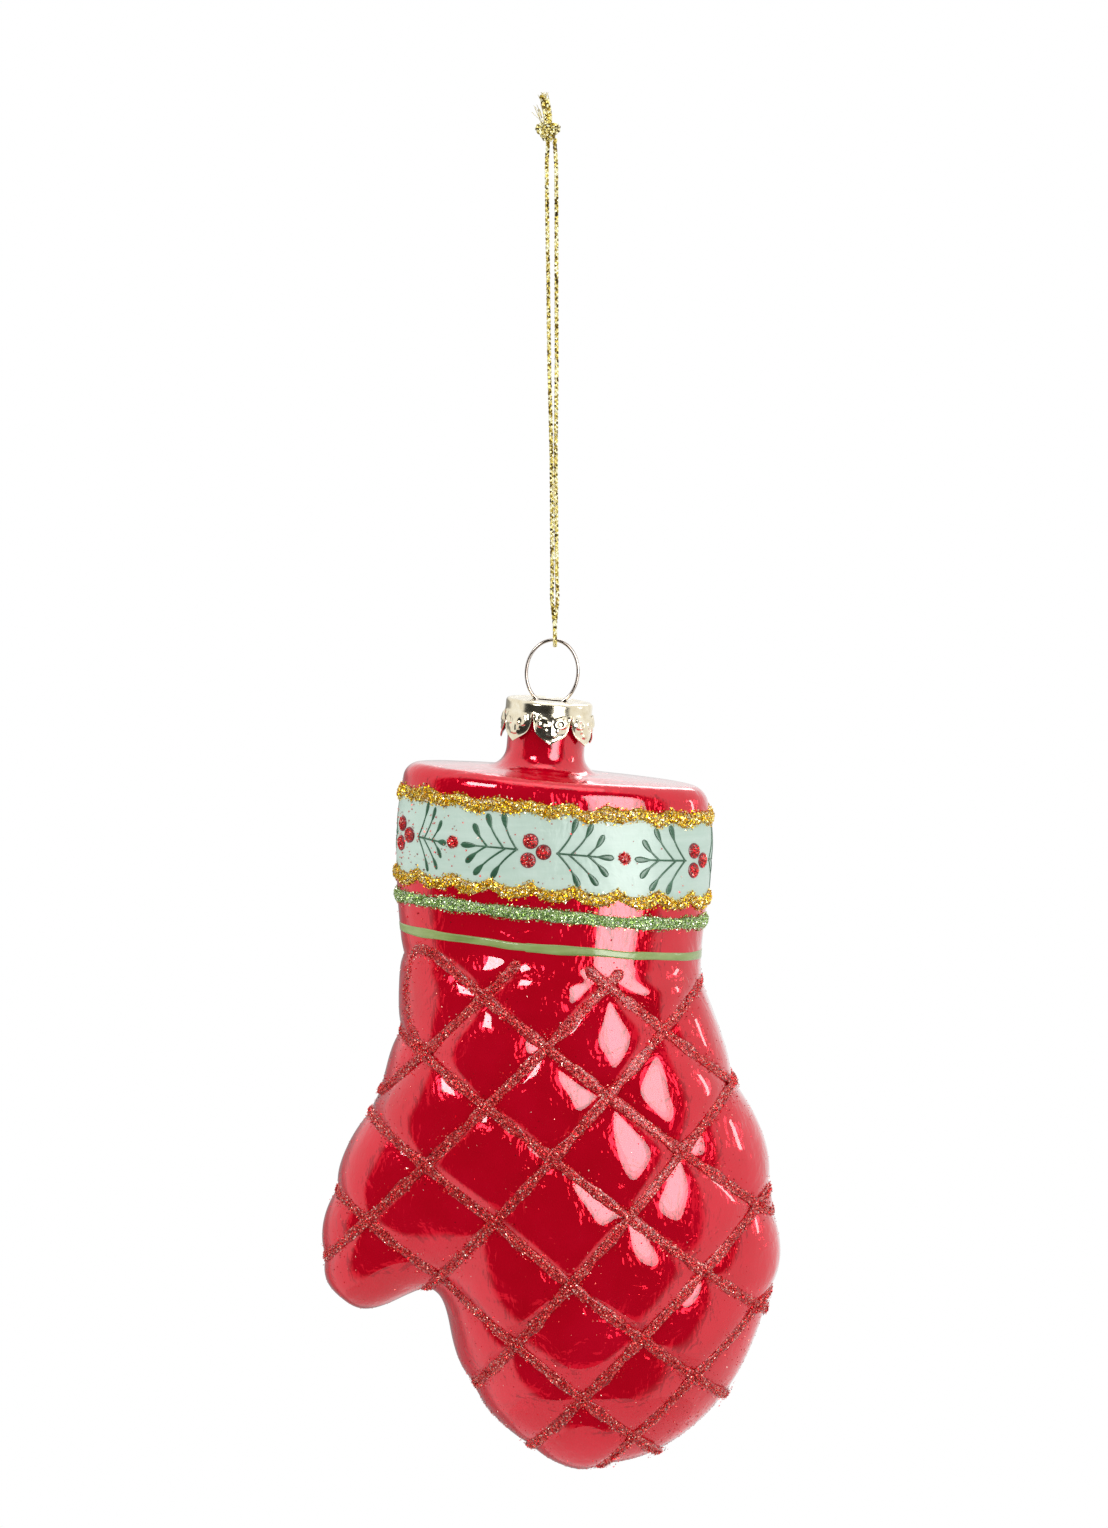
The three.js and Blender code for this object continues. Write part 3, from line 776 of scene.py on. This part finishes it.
def shaken_grains():
    """Grains that fell on the painted cuff: some anywhere, more beside the berries on the thumb side."""
    chance = np.random.default_rng(95)
    anywhere, beside = 110, 120
    around = np.concatenate([chance.normal(-12, 16, anywhere), chance.normal(-20, 5, beside)])
    depth = np.concatenate([chance.uniform(25.6, 43.5, anywhere), chance.normal(motif_depth, 3.2, beside)])
    return grains(cuff_points(around, depth, 0.14), 0.17, 0.5, 97)


# Crown cap
per_petal = 40
cap_columns = petal_count * per_petal


def petal_relief(across, down):
    """Embossing of a petal in millimetres: a midrib, two curls beside it, and raised dots below them."""
    x = across * 2.7
    y = down * 4.5
    relief = 0.12 * np.exp(-((x / 0.3) ** 2)) * smoothstep(y, 0.3, 0.9) * smoothstep(4.0 - y, 0, 1.2)
    for side in (-1, 1):
        reach = np.hypot(x - side * 1.15, y - 1.35)
        relief = relief + 0.2 * np.exp(-(((reach - 0.62) / 0.26) ** 2)) * smoothstep(2.2 - y, 0, 0.5)
        for dot_x, dot_y in ((0.85, 2.35), (0.5, 3.1), (1.6, 0.45)):
            relief = relief + 0.14 * np.exp(-(((x - side * dot_x) / 0.27) ** 2) - (((y - dot_y) / 0.27) ** 2))
    return relief


def cap_shape():
    """Pressed cup: slot edge, top, rounded rim, band and a skirt of leaf-shaped petals, then back inside.

    A column's skirt ends at 1 - 0.42 s - 0.58 s^10 of the petal's length, s being its distance from the
    petal's middle. The slot is a squared oval. Also gives the number of outer faces."""
    turn = np.radians(petal_turn - 90) + round_turn(cap_columns)
    cos, sin = np.cos(turn), np.sin(turn)
    across = 2 * (((np.arange(cap_columns) + per_petal // 2) % per_petal) / per_petal) - 1
    drop = 1 - 0.42 * np.abs(across) - 0.58 * across**10
    inner = neck_radius + seat_gap
    outer = inner + cap_sheet
    slot = ((np.abs(cos) / 2.6) ** 4 + (np.abs(sin) / 1.2) ** 4) ** -0.25
    seen = []
    for share in np.linspace(0, 1, 22):
        radius = slot * (1 - share) + (outer - cap_round) * share
        flat = np.stack([cos, sin], -1) * radius[:, None]
        crumple = 0.03 * ripple(flat, 61, 10, 4, 0.9) * smoothstep(share, 0, 0.12)
        groove = -0.08 * np.exp(-(((radius - 4.9) / 0.3) ** 2))
        seen.append((radius, crumple + groove - 0.05))
    for angle in np.radians(np.linspace(12, 90, 7)):
        seen.append((outer - cap_round * (1 - np.sin(angle)), -0.05 - cap_round * (1 - np.cos(angle))))
    seen += [(outer, -cap_round - share * (cap_band - cap_round)) for share in (0.25, 0.5, 0.75)]

    def skirt(share, radius, embossed):
        bulge = petal_belly * np.sin(np.pi * min(share, 0.8)) + 0.28 * share * (1 - across**2) - 0.1 * share
        fade = smoothstep(share, 0, 0.08) * smoothstep(1 - share, -0.02, 0.06)
        edge = 0.1 * np.exp(-(((1 - share) * drop / 0.035) ** 2)) * (share > 0.6)
        relief = (petal_relief(across, share * drop) * fade + edge) * embossed
        return radius + bulge + relief, -cap_band - share * drop * (cap_height - cap_band)

    shares = np.concatenate([np.linspace(0, 0.94, 44), [0.97, 0.99, 1.0]])
    seen += [skirt(share, outer, 1.0) for share in shares]
    hidden = [skirt(share, outer - 0.16, 0.9) for share in shares[::-2]]
    hidden += [(slot * (1 - share) + inner * share, -cap_sheet) for share in (1.0, 0.7, 0.35, 0.0)]
    hidden += [(slot, -depth) for depth in (0.3, 0.2, 0.1)]
    rings = [points_at(cos * radius, sin * radius, height - cap_depth) for radius, height in seen + hidden]
    return looped_body(np.array(rings)), len(seen) * cap_columns


# Wire hanger
def hanger_path():
    """Oval ring, open at the cap, then two legs that part towards the neck's wall."""
    entry = np.arccos(1 - cap_depth / ring_half[1])
    angle = np.linspace(-entry, entry, 41)
    ring = points_at(ring_half[0] * np.sin(angle), 0, ring_half[1] * (np.cos(angle) - 1))
    prong = neck_radius - glass_wall - seat_gap - wire_radius
    reach = leg_waist + (prong - leg_waist) * np.array([0, 0, 0.3, 0.78, 1.0])
    leg = points_at(reach, 0, -cap_depth - np.array([0.05, 0.15, 0.4, 0.75, 1.0]) * leg_length)
    return smooth_path(np.vstack([(leg * [-1, 1, 1])[::-1], ring, leg]), 0.16)


# Cord, knot and cut ends, in millimetres of the row frame
def cord_path():
    """Down one strand, under the wire in a small arc, and up the other."""
    depth, half, turn = strand_stations.T
    lean = loop_lean * depth / loop_drop
    x, y = half * np.cos(np.radians(turn)), half * np.sin(np.radians(turn))
    bottom = -loop_drop - wire_radius - seat_gap - cord_diameter / 2
    angle = np.radians([-80, -45, 0, 45, 80])
    bight = points_at(loop_lean, bight_radius * np.sin(angle), bottom + bight_radius * (1 - np.cos(angle)))
    down, up = points_at(lean - x, -y, -depth), points_at(lean + x, y, -depth)
    return smooth_path(np.vstack([down, bight, up[::-1]]), 0.08)


def plait(path, width, pitch, reference=(0, 1, 0), closed=False, flat_to_top=False):
    """Three yarns plaited round a path: each swings across as a sine, front to back at twice its rate."""
    _, side, top = path_frame(path, reference, closed)
    if flat_to_top:
        side, top = top, side
    run = run_along(path)
    turns = run / pitch
    if closed:
        whole = run[-1] + np.linalg.norm(path[0] - path[-1])
        turns = run / whole * round(whole / pitch)
    yarns = []
    for start in (0, 1 / 3, 2 / 3):
        phase = 2 * np.pi * (turns + start)[:, None]
        swing = 0.29 * width * np.sin(phase) * side + 0.14 * width * np.sin(2 * phase) * top
        yarns.append(tube(path + swing, 0.23 * width, 6, reference, closed))
    return joined(yarns)


def knot_path():
    """Three crossing lobes, drawn up on top of the loop."""
    turn = round_turn(260)
    width = (knot_width / 2 - knot_tube) / 3
    height = (knot_height / 2 - knot_tube) / 3
    x = knot_shift + width * (np.sin(turn) + 2 * np.sin(2 * turn))
    y = (knot_depth / 2 - knot_tube) * np.sin(3 * turn)
    return points_at(x, y, knot_height / 2 + height * (np.cos(turn) - 2 * np.cos(2 * turn)))


tail_top = knot_height + seat_gap + tail_length


def tail_shapes():
    """Two cut ends side by side over the knot."""
    shapes = []
    for side, lean, short in ((-0.26, -0.75, 0.5), (0.26, -0.45, 1.0)):
        share = np.linspace(0, 1, 60)[:, None]
        base = np.array([knot_shift + side, 0.1 * side, knot_height - 0.5])
        tip = np.array([knot_shift + lean + side, 0.2 * side, tail_top - short])
        path = base + (tip - base) * share + np.array([0.15, 0, 0]) * np.sin(np.pi * share)
        shapes.append(plait(path, 0.72, 1.25))
    return joined(shapes)


def loose_threads():
    """Fine threads: each a bowed line from its root in the cut ends or the knot to its seeded tip."""
    chance = np.random.default_rng(31)
    count = 46
    from_knot = 10
    x, y = chance.normal(0, 0.2, count), chance.normal(0, 0.12, count)
    roots = points_at(knot_shift - 0.55 + x, y, tail_top - 1.6)
    x, y = chance.normal(-0.1, 0.3, count), chance.normal(0, 0.25, count)
    tips = roots + points_at(x, y, chance.uniform(0.7, 1.6, count))
    roots[-from_knot:] = [knot_shift - 0.6, 0, knot_height - 0.7]
    for axis, (low, high) in enumerate(((-3.3, -1.6), (-0.4, 0.4), (4.2, 5.6))):
        tips[-from_knot:, axis] = chance.uniform(low, high, from_knot)
    tips[:, 2] = np.minimum(tips[:, 2], tail_top + 0.1)
    share = np.linspace(0, 1, 9)[None, :, None]
    bow = chance.normal(0, 0.18, (count, 1, 3)) * np.sin(np.pi * share)
    paths = roots[:, None] + (tips - roots)[:, None] * share + bow
    return joined(tube(path, 0.035, 4) for path in paths)


# Finishes
def tone(red, green, blue):
    """Linear colour of a display colour given in 0 to 255."""
    share = np.array([red, green, blue]) / 255
    linear = np.where(share <= 0.04045, share / 12.92, ((share + 0.055) / 1.055) ** 2.4)
    return (*linear.tolist(), 1.0)


def add(tree, kind, inputs=None, **settings):
    """New shader node with its own settings, and its sockets given a value or a link."""
    made = tree.nodes.new("ShaderNode" + kind)
    for name, value in settings.items():
        setattr(made, name, value)
    for socket, value in (inputs or {}).items():
        if isinstance(value, bpy.types.NodeSocket):
            tree.links.new(value, made.inputs[socket])
        else:
            made.inputs[socket].default_value = value
    return made


def maths(tree, operation, first, second):
    return add(tree, "Math", {0: first, 1: second}, operation=operation).outputs[0]


def noise(tree, place, scale, detail=3.0, roughness=0.5, distortion=0.0):
    settings = {"Vector": place, "Scale": scale, "Detail": detail}
    settings.update({"Roughness": roughness, "Distortion": distortion})
    return add(tree, "TexNoise", settings).outputs["Fac"]


def own_place(tree):
    """Place in the object's own metres."""
    return add(tree, "TexCoord").outputs["Object"]


def ramp(tree, factor, stops):
    """Colour ramp through the stops, each a place and a display colour."""
    made = add(tree, "ValToRGB", {"Fac": factor})
    elements = made.color_ramp.elements
    elements.remove(elements[1])
    for number, (place, *colour) in enumerate(stops):
        element = elements.new(place) if number else elements[0]
        element.position = place
        element.color = tone(*colour)
    return made.outputs["Color"]


def new_group(build, inputs):
    """Shader group that build fills, from number inputs to the numbers that it returns."""
    tree = bpy.data.node_groups.new(build.__name__.replace("_", " "), "ShaderNodeTree")
    for socket, value in inputs.items():
        tree.interface.new_socket(socket, in_out="INPUT", socket_type="NodeSocketFloat").default_value = value
    made = build(tree, own_place(tree), tree.nodes.new("NodeGroupInput").outputs)
    for socket in made:
        tree.interface.new_socket(socket, in_out="OUTPUT", socket_type="NodeSocketFloat")
    out = tree.nodes.new("NodeGroupOutput")
    for socket, value in made.items():
        tree.links.new(value, out.inputs[socket])
    return tree


def blown_waviness(tree, place, given):
    """Hand-blown skin: slow swells a few millimetres long, streaky ones under 1 mm, and a mottle."""
    streaky = add(tree, "Mapping", {"Vector": place, "Rotation": (0, 0.6, 0), "Scale": (1, 1, 0.35)})
    slow = maths(tree, "MULTIPLY", noise(tree, place, 190, 3.0, 0.5, 0.8), given["Swell"])
    fine = maths(tree, "MULTIPLY", noise(tree, streaky.outputs[0], 1500, 1.2, 0.4, 0.6), given["Peel"])
    return {"Pattern": noise(tree, place, 90, 4.0, 0.6), "Height": maths(tree, "ADD", slow, fine)}


def brush_strokes(tree, place, given):
    """Hand-laid paint: long streaks along the stroke with a soft mottle, and the ridges of the bristles."""
    lean = (0, np.radians(hang_tilt), 0)
    turned_place = add(tree, "Mapping", {"Vector": place, "Rotation": lean, "Scale": (1, 1, 7)}).outputs[0]
    sized = add(tree, "VectorMath", {0: turned_place, 3: given["Fineness"]}, operation="SCALE").outputs[0]
    streak = noise(tree, sized, 160, 5.0, 0.6)
    both = maths(tree, "ADD", streak, noise(tree, place, 120, 3.0, 0.5))
    return {"Pattern": maths(tree, "MULTIPLY", both, 0.5), "Height": streak}


def packed_grains(tree, place, given):
    """Packed glitter or foil turns: a random tone for each cell, its height, and the gap between cells."""
    cells = add(tree, "TexVoronoi", {"Vector": place, "Scale": given["Fineness"]}).outputs
    chance = add(tree, "TexWhiteNoise", {"Vector": cells["Position"]}).outputs["Value"]
    gap = add(tree, "MapRange", {"Value": cells["Distance"], "From Min": 0.35, "From Max": 0.6})
    return {"Pattern": chance, "Height": cells["Distance"], "Gap": gap.outputs["Result"]}


def worn_metal(tree, place, given):
    """Thin bright metal: cloudy dulling, and fine scratches along one direction."""
    long = add(tree, "Mapping", {"Vector": place, "Scale": (1, 1, 0.08)}).outputs[0]
    height = maths(tree, "MULTIPLY", noise(tree, long, 5200, 2.0), given["Scratch"])
    return {"Pattern": noise(tree, place, 700, 4.0, 0.6, 0.3), "Height": height}


waviness = new_group(blown_waviness, {"Swell": 1.0, "Peel": 0.1})
bristles = new_group(brush_strokes, {"Fineness": 1.0})
packing = new_group(packed_grains, {"Fineness": 3600.0})
wear = new_group(worn_metal, {"Scratch": 1.0})


def new_finish(name, **plain):
    """New material; plain values go on the shader's own sockets. Returns material, tree and shader."""
    material = bpy.data.materials.new(name)
    material.use_nodes = True
    tree = material.node_tree
    shader = tree.nodes["Principled BSDF"]
    for socket, value in plain.items():
        shader.inputs[socket.replace("_", " ")].default_value = value
    return material, tree, shader


def placed(tree, group, given):
    """Outputs of a group whose number inputs are given in their order."""
    made = tree.nodes.new("ShaderNodeGroup")
    made.node_tree = group
    for number, value in enumerate(given):
        made.inputs[number].default_value = value
    return made.outputs


def bump(tree, height, strength, depth, **under):
    """Normal bent by a height, depth metres deep, over the one given."""
    settings = {"Strength": strength, "Distance": depth, "Height": height, **under}
    return add(tree, "Bump", settings).outputs["Normal"]


def rough_by(tree, shader, pattern, smoothest, roughest):
    """Roughness of the shader between two values by a pattern from 0 to 1."""
    spread = add(tree, "MapRange", {"Value": pattern, "To Min": smoothest, "To Max": roughest})
    tree.links.new(spread.outputs["Result"], shader.inputs["Roughness"])


def patterned(name, stops, group, given, rough, ridges, gap=None, rippled=False, **plain):
    """Material whose colour, roughness and bump follow a group's pattern.

    gap is the colour between packed grains. A rippled one has the glass's own ripple under its bump."""
    material, tree, shader = new_finish(name, **plain)
    look = placed(tree, group, given)
    colour = ramp(tree, look["Pattern"], stops)
    if gap:
        mixed = add(tree, "Mix", {"Factor": look["Gap"], 6: colour, 7: tone(*gap)}, data_type="RGBA")
        colour = mixed.outputs[2]
    tree.links.new(colour, shader.inputs["Base Color"])
    rough_by(tree, shader, look["Pattern"], *rough)
    under = {}
    if rippled:
        under["Normal"] = bump(tree, placed(tree, waviness, (1.0, 0.1))["Height"], 0.5, 0.0005)
    tree.links.new(bump(tree, look["Height"], *ridges, **under), shader.inputs["Normal"])
    return material


def foil_grains(name, shine, stops):
    """Cut foil grains: each has one tone, from dark to near white; the near-white tones are painted glints.
    """
    material, tree, shader = new_finish(name, Metallic=shine, Specular_IOR_Level=0.25)
    shade = add(tree, "Attribute", attribute_name="shade").outputs["Fac"]
    tree.links.new(ramp(tree, shade, stops), shader.inputs["Base Color"])
    rough_by(tree, shader, noise(tree, own_place(tree), 6000, 2.0), 0.05, 0.3)
    return material


# Kinds of finish: pattern, its inputs, least and greatest roughness, strength and depth of the bump.
# Paint is brushed over the glass, glue is full of grains too fine to be pieces, and foil is wound yarn; the
# palest tones of glue and foil are painted glints.
paint = dict(group=bristles, rough=(0.28, 0.5), ridges=(0.25, 0.00005), rippled=True, Coat_Roughness=0.06)
glue = dict(
    group=packing, rough=(0.2, 0.5), ridges=(0.8, 0.00012),
    Metallic=0.25, Coat_Weight=0.5, Coat_Roughness=0.15,
)
foil = dict(group=packing, given=(2900.0,), rough=(0.2, 0.5), ridges=(0.7, 0.0001), Metallic=0.6)
metal = dict(group=wear, given=(0.4,), ridges=(0.08, 0.00002), Metallic=1.0)

# Colours: rows of a place in the pattern and a display colour
lacquer_stops = ((0.2, 208, 0, 28), (0.5, 224, 0, 36), (0.8, 236, 6, 46))
silver_stops = ((0.3, 150, 140, 132), (0.7, 200, 198, 196))
mint_stops = ((0.3, 195, 222, 206), (0.5, 207, 231, 217), (0.7, 218, 239, 227))
olive_stops = ((0.3, 116, 140, 60), (0.5, 146, 170, 88), (0.7, 176, 196, 126))
sprig_stops = ((0.3, 24, 78, 48), (0.5, 42, 98, 66), (0.7, 84, 134, 104))
# Berry enamel is dark red: the rim that shows round each berry's glitter is a painted outline that also
# serves as painted shadow under the berry.
berry_outline_and_shadow_stops = ((0.3, 88, 12, 22), (0.5, 124, 22, 32), (0.7, 160, 40, 46))
champagne_stops = ((0.25, 222, 208, 176), (0.55, 240, 230, 204), (0.8, 250, 245, 228))
# The cap's inside is coloured a darker brown than its outside.
darker_inside_stops = ((0.25, 74, 56, 44), (0.55, 104, 84, 68), (0.8, 140, 120, 100))
wire_stops = ((0.3, 158, 144, 134), (0.7, 206, 196, 186))
# Foil yarn: the darkest cells are painted shade between the yarns and the near-white cells are painted
# glints; the golds between are the foil's own tone.
yarn_stops_with_painted_shade_and_glints = ((0.0, 62, 48, 4), (0.25, 150, 122, 24), (0.42, 242, 222, 112), (1.0, 255, 255, 226))
thread_stops = ((0.0, 160, 140, 60), (0.5, 226, 210, 130), (1.0, 254, 250, 224))
# Glitter colours, shared by grains and glue: the palest, near-white stops are painted glints standing in for
# sparkle; the lower stops are the grains' own random tones.
gold_stops_with_painted_glints = (
    (0.0, 140, 90, 0),
    (0.2, 236, 172, 0),
    (0.5, 255, 212, 24),
    (0.75, 255, 242, 130),
    (1.0, 255, 255, 240),
)
green_stops_with_painted_glints = (
    (0.0, 84, 118, 44),
    (0.3, 162, 200, 100),
    (0.6, 206, 232, 156),
    (0.85, 244, 254, 220),
    (1.0, 255, 255, 250),
)
red_stops_with_painted_glints = (
    (0.0, 100, 0, 8),
    (0.3, 222, 8, 26),
    (0.64, 255, 46, 56),
    (0.83, 255, 108, 94),
    (0.93, 255, 178, 158),
    (1.0, 255, 232, 220),
)

# Metallic red lacquer with a clear glossy skin, and the silvered inside of the glass
lacquer = patterned(
    "red lacquered glass", lacquer_stops, waviness, (1.0, 0.15), (0.04, 0.12), (0.9, 0.0006),
    Metallic=0.34, Coat_Weight=1.0, Coat_IOR=1.55, Coat_Roughness=0.02, Specular_IOR_Level=0.12,
)
lining = patterned(
    "silver lining", silver_stops, waviness, (0.6, 0.2), (0.15, 0.4), (0.4, 0.0004), Metallic=0.9
)
mint_enamel = patterned("mint enamel", mint_stops, given=(0.8,), Coat_Weight=0.15, **paint)
olive_enamel = patterned("olive enamel", olive_stops, given=(1.0,), Coat_Weight=0.7, **paint)
sprig_enamel = patterned("sprig enamel", sprig_stops, given=(2.5,), Coat_Weight=0.5, **paint)
berry_enamel = patterned("berry enamel", berry_outline_and_shadow_stops, given=(2.5,), Coat_Weight=0.5, **paint)
gold_grains = foil_grains("gold grains", 0.8, gold_stops_with_painted_glints)
green_grains = foil_grains("green grains", 0.7, green_stops_with_painted_glints)
red_grains = foil_grains("red grains", 0.6, red_stops_with_painted_glints)
gold_glue = patterned("gold glue", gold_stops_with_painted_glints, given=(3000.0,), gap=(150, 106, 8), **glue)
green_glue = patterned("green glue", green_stops_with_painted_glints, given=(3800.0,), gap=(92, 128, 62), **glue)
red_glue = patterned("red glue", red_stops_with_painted_glints, given=(3600.0,), gap=(164, 12, 20), **glue)
cap_metal = patterned("champagne metal", champagne_stops, rough=(0.08, 0.24), **metal)
cap_inside = patterned("darker inside of the cap", darker_inside_stops, rough=(0.3, 0.5), **metal)
wire_metal = patterned("drawn wire", wire_stops, rough=(0.1, 0.22), **metal)
cord_foil = patterned("gold foil yarn", yarn_stops_with_painted_shade_and_glints, **foil)
thread_foil = patterned("loose foil thread", thread_stops, **foil)

# Cord first, with its knot, cut ends and loose threads
route = cord_path()
loop_top = np.array([0.1, 0, 0.75])
visible_route = np.vstack([route[0] + loop_top * [-1, 1, 1], route, route[-1] + loop_top])
visible_route = even_steps(visible_route, 0.08)
cord_plait = plait(visible_route, cord_diameter, 2.1, [1, 0, 0], flat_to_top=True)
knot_plait = plait(knot_path(), 3.2 * knot_tube, 1.6, closed=True)
cord = lay_piece("gold_cord_loop", "cord", cord_plait, cord_foil, stands_for="hanging_cord", slot="gold_cord")
knot = lay_piece("tied_knot", "cord", knot_plait, cord_foil, stands_for="cord_knot", slot="gold_cord")
tails = lay_piece("cut_ends", "cord", tail_shapes(), cord_foil, stands_for="cord_tail", slot="gold_cord")
threads = lay_piece("loose_threads", "cord", loose_threads(), thread_foil, slot="gold_cord")

# Hanger and cap
hanger = tube(hanger_path(), wire_radius, 14)
lay_piece("bent_wire", "hanger", hanger, wire_metal, stands_for="wire_hanger", slot="hanger_wire")
cup, outer_faces = cap_shape()
lay_piece(
    "embossed_cap", "cap", cup, cap_metal, cap_inside,
    stands_for="crown_cap", slot="champagne_cap", inner_from=outer_faces,
)

# Glass and its paint
glass, outer_faces = glass_shape()
lay_piece(
    "quilted_glass", "mitt", glass, lacquer, lining,
    stands_for="glass_shell", slot="red_glass", inner_from=outer_faces,
)
mint_band = paint_shell(
    lambda around: band_middle(around, upper_band) + 0.2,
    lambda around: band_middle(around, lower_band) - 0.1,
    24,
    0.05,
)
olive_stripe = paint_shell(
    lambda around: 44.3 + 0.18 * ripple(around[..., None], 81, 4, 30, 6),
    lambda around: 45.5 + 0.18 * ripple(around[..., None], 83, 4, 24, 5),
    5,
    0.06,
)
lay_piece("mint_band", "mitt", mint_band, mint_enamel)
lay_piece("olive_stripe", "mitt", olive_stripe, olive_enamel)
lay_piece("painted_sprigs", "mitt", sprig_shapes(), sprig_enamel)
# The berries' dark rim is partly a painted outline and partly painted shadow.
lay_piece("berry_drops", "mitt", drop_shapes(berries, berry_radius, berry_tall), berry_enamel)
lay_piece("dot_drops", "mitt", drop_shapes(dots, dot_radius, dot_tall), red_glue)


def lay_grains(name, made, material, slot=None):
    """Grains as one piece on the mitt."""
    shape, shade = made
    lay_piece(name, "mitt", shape, material, slot=slot, shade=shade)


lay_grains("berry_glitter", drop_grains(berries, 1.02, berry_tall, 190, 0.15, 75), red_grains)
lay_grains("dot_glitter", drop_grains(dots, 0.95, dot_tall, 110, 0.17, 77), red_grains)

# Glitter bands
for node, band, bed_finish, grain_finish, slot in (
    ("gold_glitter_upper", upper_band, gold_glue, gold_grains, "gold_glitter"),
    ("gold_glitter_lower", lower_band, gold_glue, gold_grains, "gold_glitter"),
    ("green_glitter_band", green_band, green_glue, green_grains, "green_glitter"),
):
    lay_piece(node + "_bed", "mitt", band_bed(band), bed_finish, stands_for=node, slot=slot)
    lay_grains(node + "_grains", band_grains(band), grain_finish, slot)

# Glitter in the seams, and loose grains
curves = seam_curves()
seam_shapes = joined(seam_bed(curve, number) for number, (curve, _) in enumerate(curves))
lay_piece("seam_glue", "mitt", seam_shapes, red_glue)
lay_grains("seam_glitter_front", seam_grains(curves, -1.0, 101), red_grains)
lay_grains("seam_glitter_back", seam_grains(curves, 1.0, 103), red_grains)
lay_grains("stray_glitter", stray_grains(), red_grains)
lay_grains("shaken_glitter", shaken_grains(), red_grains)

# Studio, in metres
floor_depth = 0.44
floor_reach = 0.22


def pale_floor():
    """Round pale floor under the ornament, going over to white at its edge for the camera."""
    angle = round_turn(96)
    points = floor_reach * points_at(np.cos(angle), np.sin(angle), 0) - [0, 0, floor_depth]
    mesh = bpy.data.meshes.new("floor")
    mesh.from_pydata(points.tolist(), [], [list(range(len(points)))])
    material, tree, shader = new_finish("pale floor", Roughness=0.9, Base_Color=(0.86, 0.86, 0.86, 1))
    flat = add(tree, "VectorMath", {0: own_place(tree), 1: (1, 1, 0)}, operation="MULTIPLY").outputs[0]
    reach = add(tree, "VectorMath", {0: flat}, operation="LENGTH").outputs["Value"]
    span = {"Value": reach, "From Min": 0.3 * floor_reach, "From Max": 0.97 * floor_reach}
    edge = add(tree, "MapRange", span, interpolation_type="SMOOTHSTEP").outputs["Result"]
    share = maths(tree, "MULTIPLY", edge, add(tree, "LightPath").outputs["Is Camera Ray"])
    white = add(tree, "Emission", {"Strength": 1.0})
    mixed = add(tree, "MixShader", {0: share, 1: shader.outputs[0], 2: white.outputs[0]})
    tree.links.new(mixed.outputs[0], tree.nodes["Material Output"].inputs["Surface"])
    mesh.materials.append(material)
    put_in("floor", mesh)


def way_to(azimuth, elevation):
    """Unit direction. Azimuth 0 is in front of the ornament, 90 on the side away from the thumb."""
    a, e = np.radians(azimuth), np.radians(elevation)
    return np.array([np.sin(a) * np.cos(e), -np.cos(a) * np.cos(e), np.sin(e)])


# Dark ends of the white walls: azimuth, elevation, inner and outer angle of the edge, brightness
dark_ends = ((-7, 6, 58, 68, 0.025), (208, -22, 24, 42, 0.3))
soft_light = 0.84


def studio_world():
    """White for the camera, a plain level for soft light, and for gloss white walls with two dark ends."""
    world = bpy.data.worlds.new("studio")
    bpy.context.scene.world = world
    world.use_nodes = True
    tree = world.node_tree
    back = tree.nodes["Background"]
    way = add(tree, "TexCoord").outputs["Generated"]
    walls = 1.0
    for azimuth, elevation, inner, outer, level in dark_ends:
        middle = way_to(azimuth, elevation)
        towards = add(tree, "VectorMath", {0: way, 1: middle}, operation="DOT_PRODUCT").outputs["Value"]
        reach = {"From Min": np.cos(np.radians(outer)), "From Max": np.cos(np.radians(inner))}
        reach.update({"Value": towards, "To Min": 1.0, "To Max": level})
        dark = add(tree, "MapRange", reach, interpolation_type="SMOOTHSTEP").outputs["Result"]
        walls = maths(tree, "MULTIPLY", walls, dark)
    path = add(tree, "LightPath").outputs
    gloss = maths(tree, "MAXIMUM", path["Is Glossy Ray"], path["Is Transmission Ray"])
    soft = add(tree, "Mix", {"Factor": gloss, 2: soft_light, 3: walls}).outputs[0]
    level = add(tree, "Mix", {"Factor": path["Is Camera Ray"], 2: soft, 3: 1.0}).outputs[0]
    back.inputs["Color"].default_value = (1, 1, 1, 1)
    tree.links.new(level, back.inputs["Strength"])


# Lamp panels: azimuth, elevation, distance, width, height, radiance, outline, whether soft light is lit too
lamps = {
    "right softbox": (28, 8, 1.0, 0.53, 0.86, 5.0, "ELLIPSE", False),
    "glow round the middle of the right softbox": (27, 9, 0.98, 0.46, 0.76, 1.7, "ELLIPSE", False),
    "bright middle of the right softbox": (27, 9, 0.97, 0.36, 0.6, 1.9, "ELLIPSE", False),
    "left softbox": (-34, 31, 1.1, 0.27, 0.32, 15.0, "RECTANGLE", False),
    "top softbox": (10, 72, 1.1, 0.6, 0.5, 1.4, "RECTANGLE", True),
    "right side lamp": (92, 12, 1.0, 0.09, 0.3, 9.0, "RECTANGLE", False),
    "rear softbox": (166, 40, 1.0, 0.42, 0.5, 4.0, "RECTANGLE", False),
}
lamp_aim = np.array([0, 0, -0.13])
ellipse_share = np.pi / 4


def softbox(name, azimuth, elevation, distance, width, height, radiance, outline, lights_soft):
    """Lamp panel that faces the ornament. Most show in the gloss and leave soft light to the walls."""
    lamp = bpy.data.lights.new(name, "AREA")
    lamp.shape = outline
    lamp.size = width
    lamp.size_y = height
    lamp.energy = radiance * np.pi * width * height * (ellipse_share if outline == "ELLIPSE" else 1)
    panel = put_in(name, lamp)
    way = way_to(azimuth, elevation)
    panel.location = way * distance + lamp_aim
    panel.rotation_euler = looking(-way)
    panel.visible_diffuse = lights_soft


pale_floor()
studio_world()
for name, settings in lamps.items():
    softbox(name, *settings)
bpy.context.scene.view_settings.view_transform = "Standard"
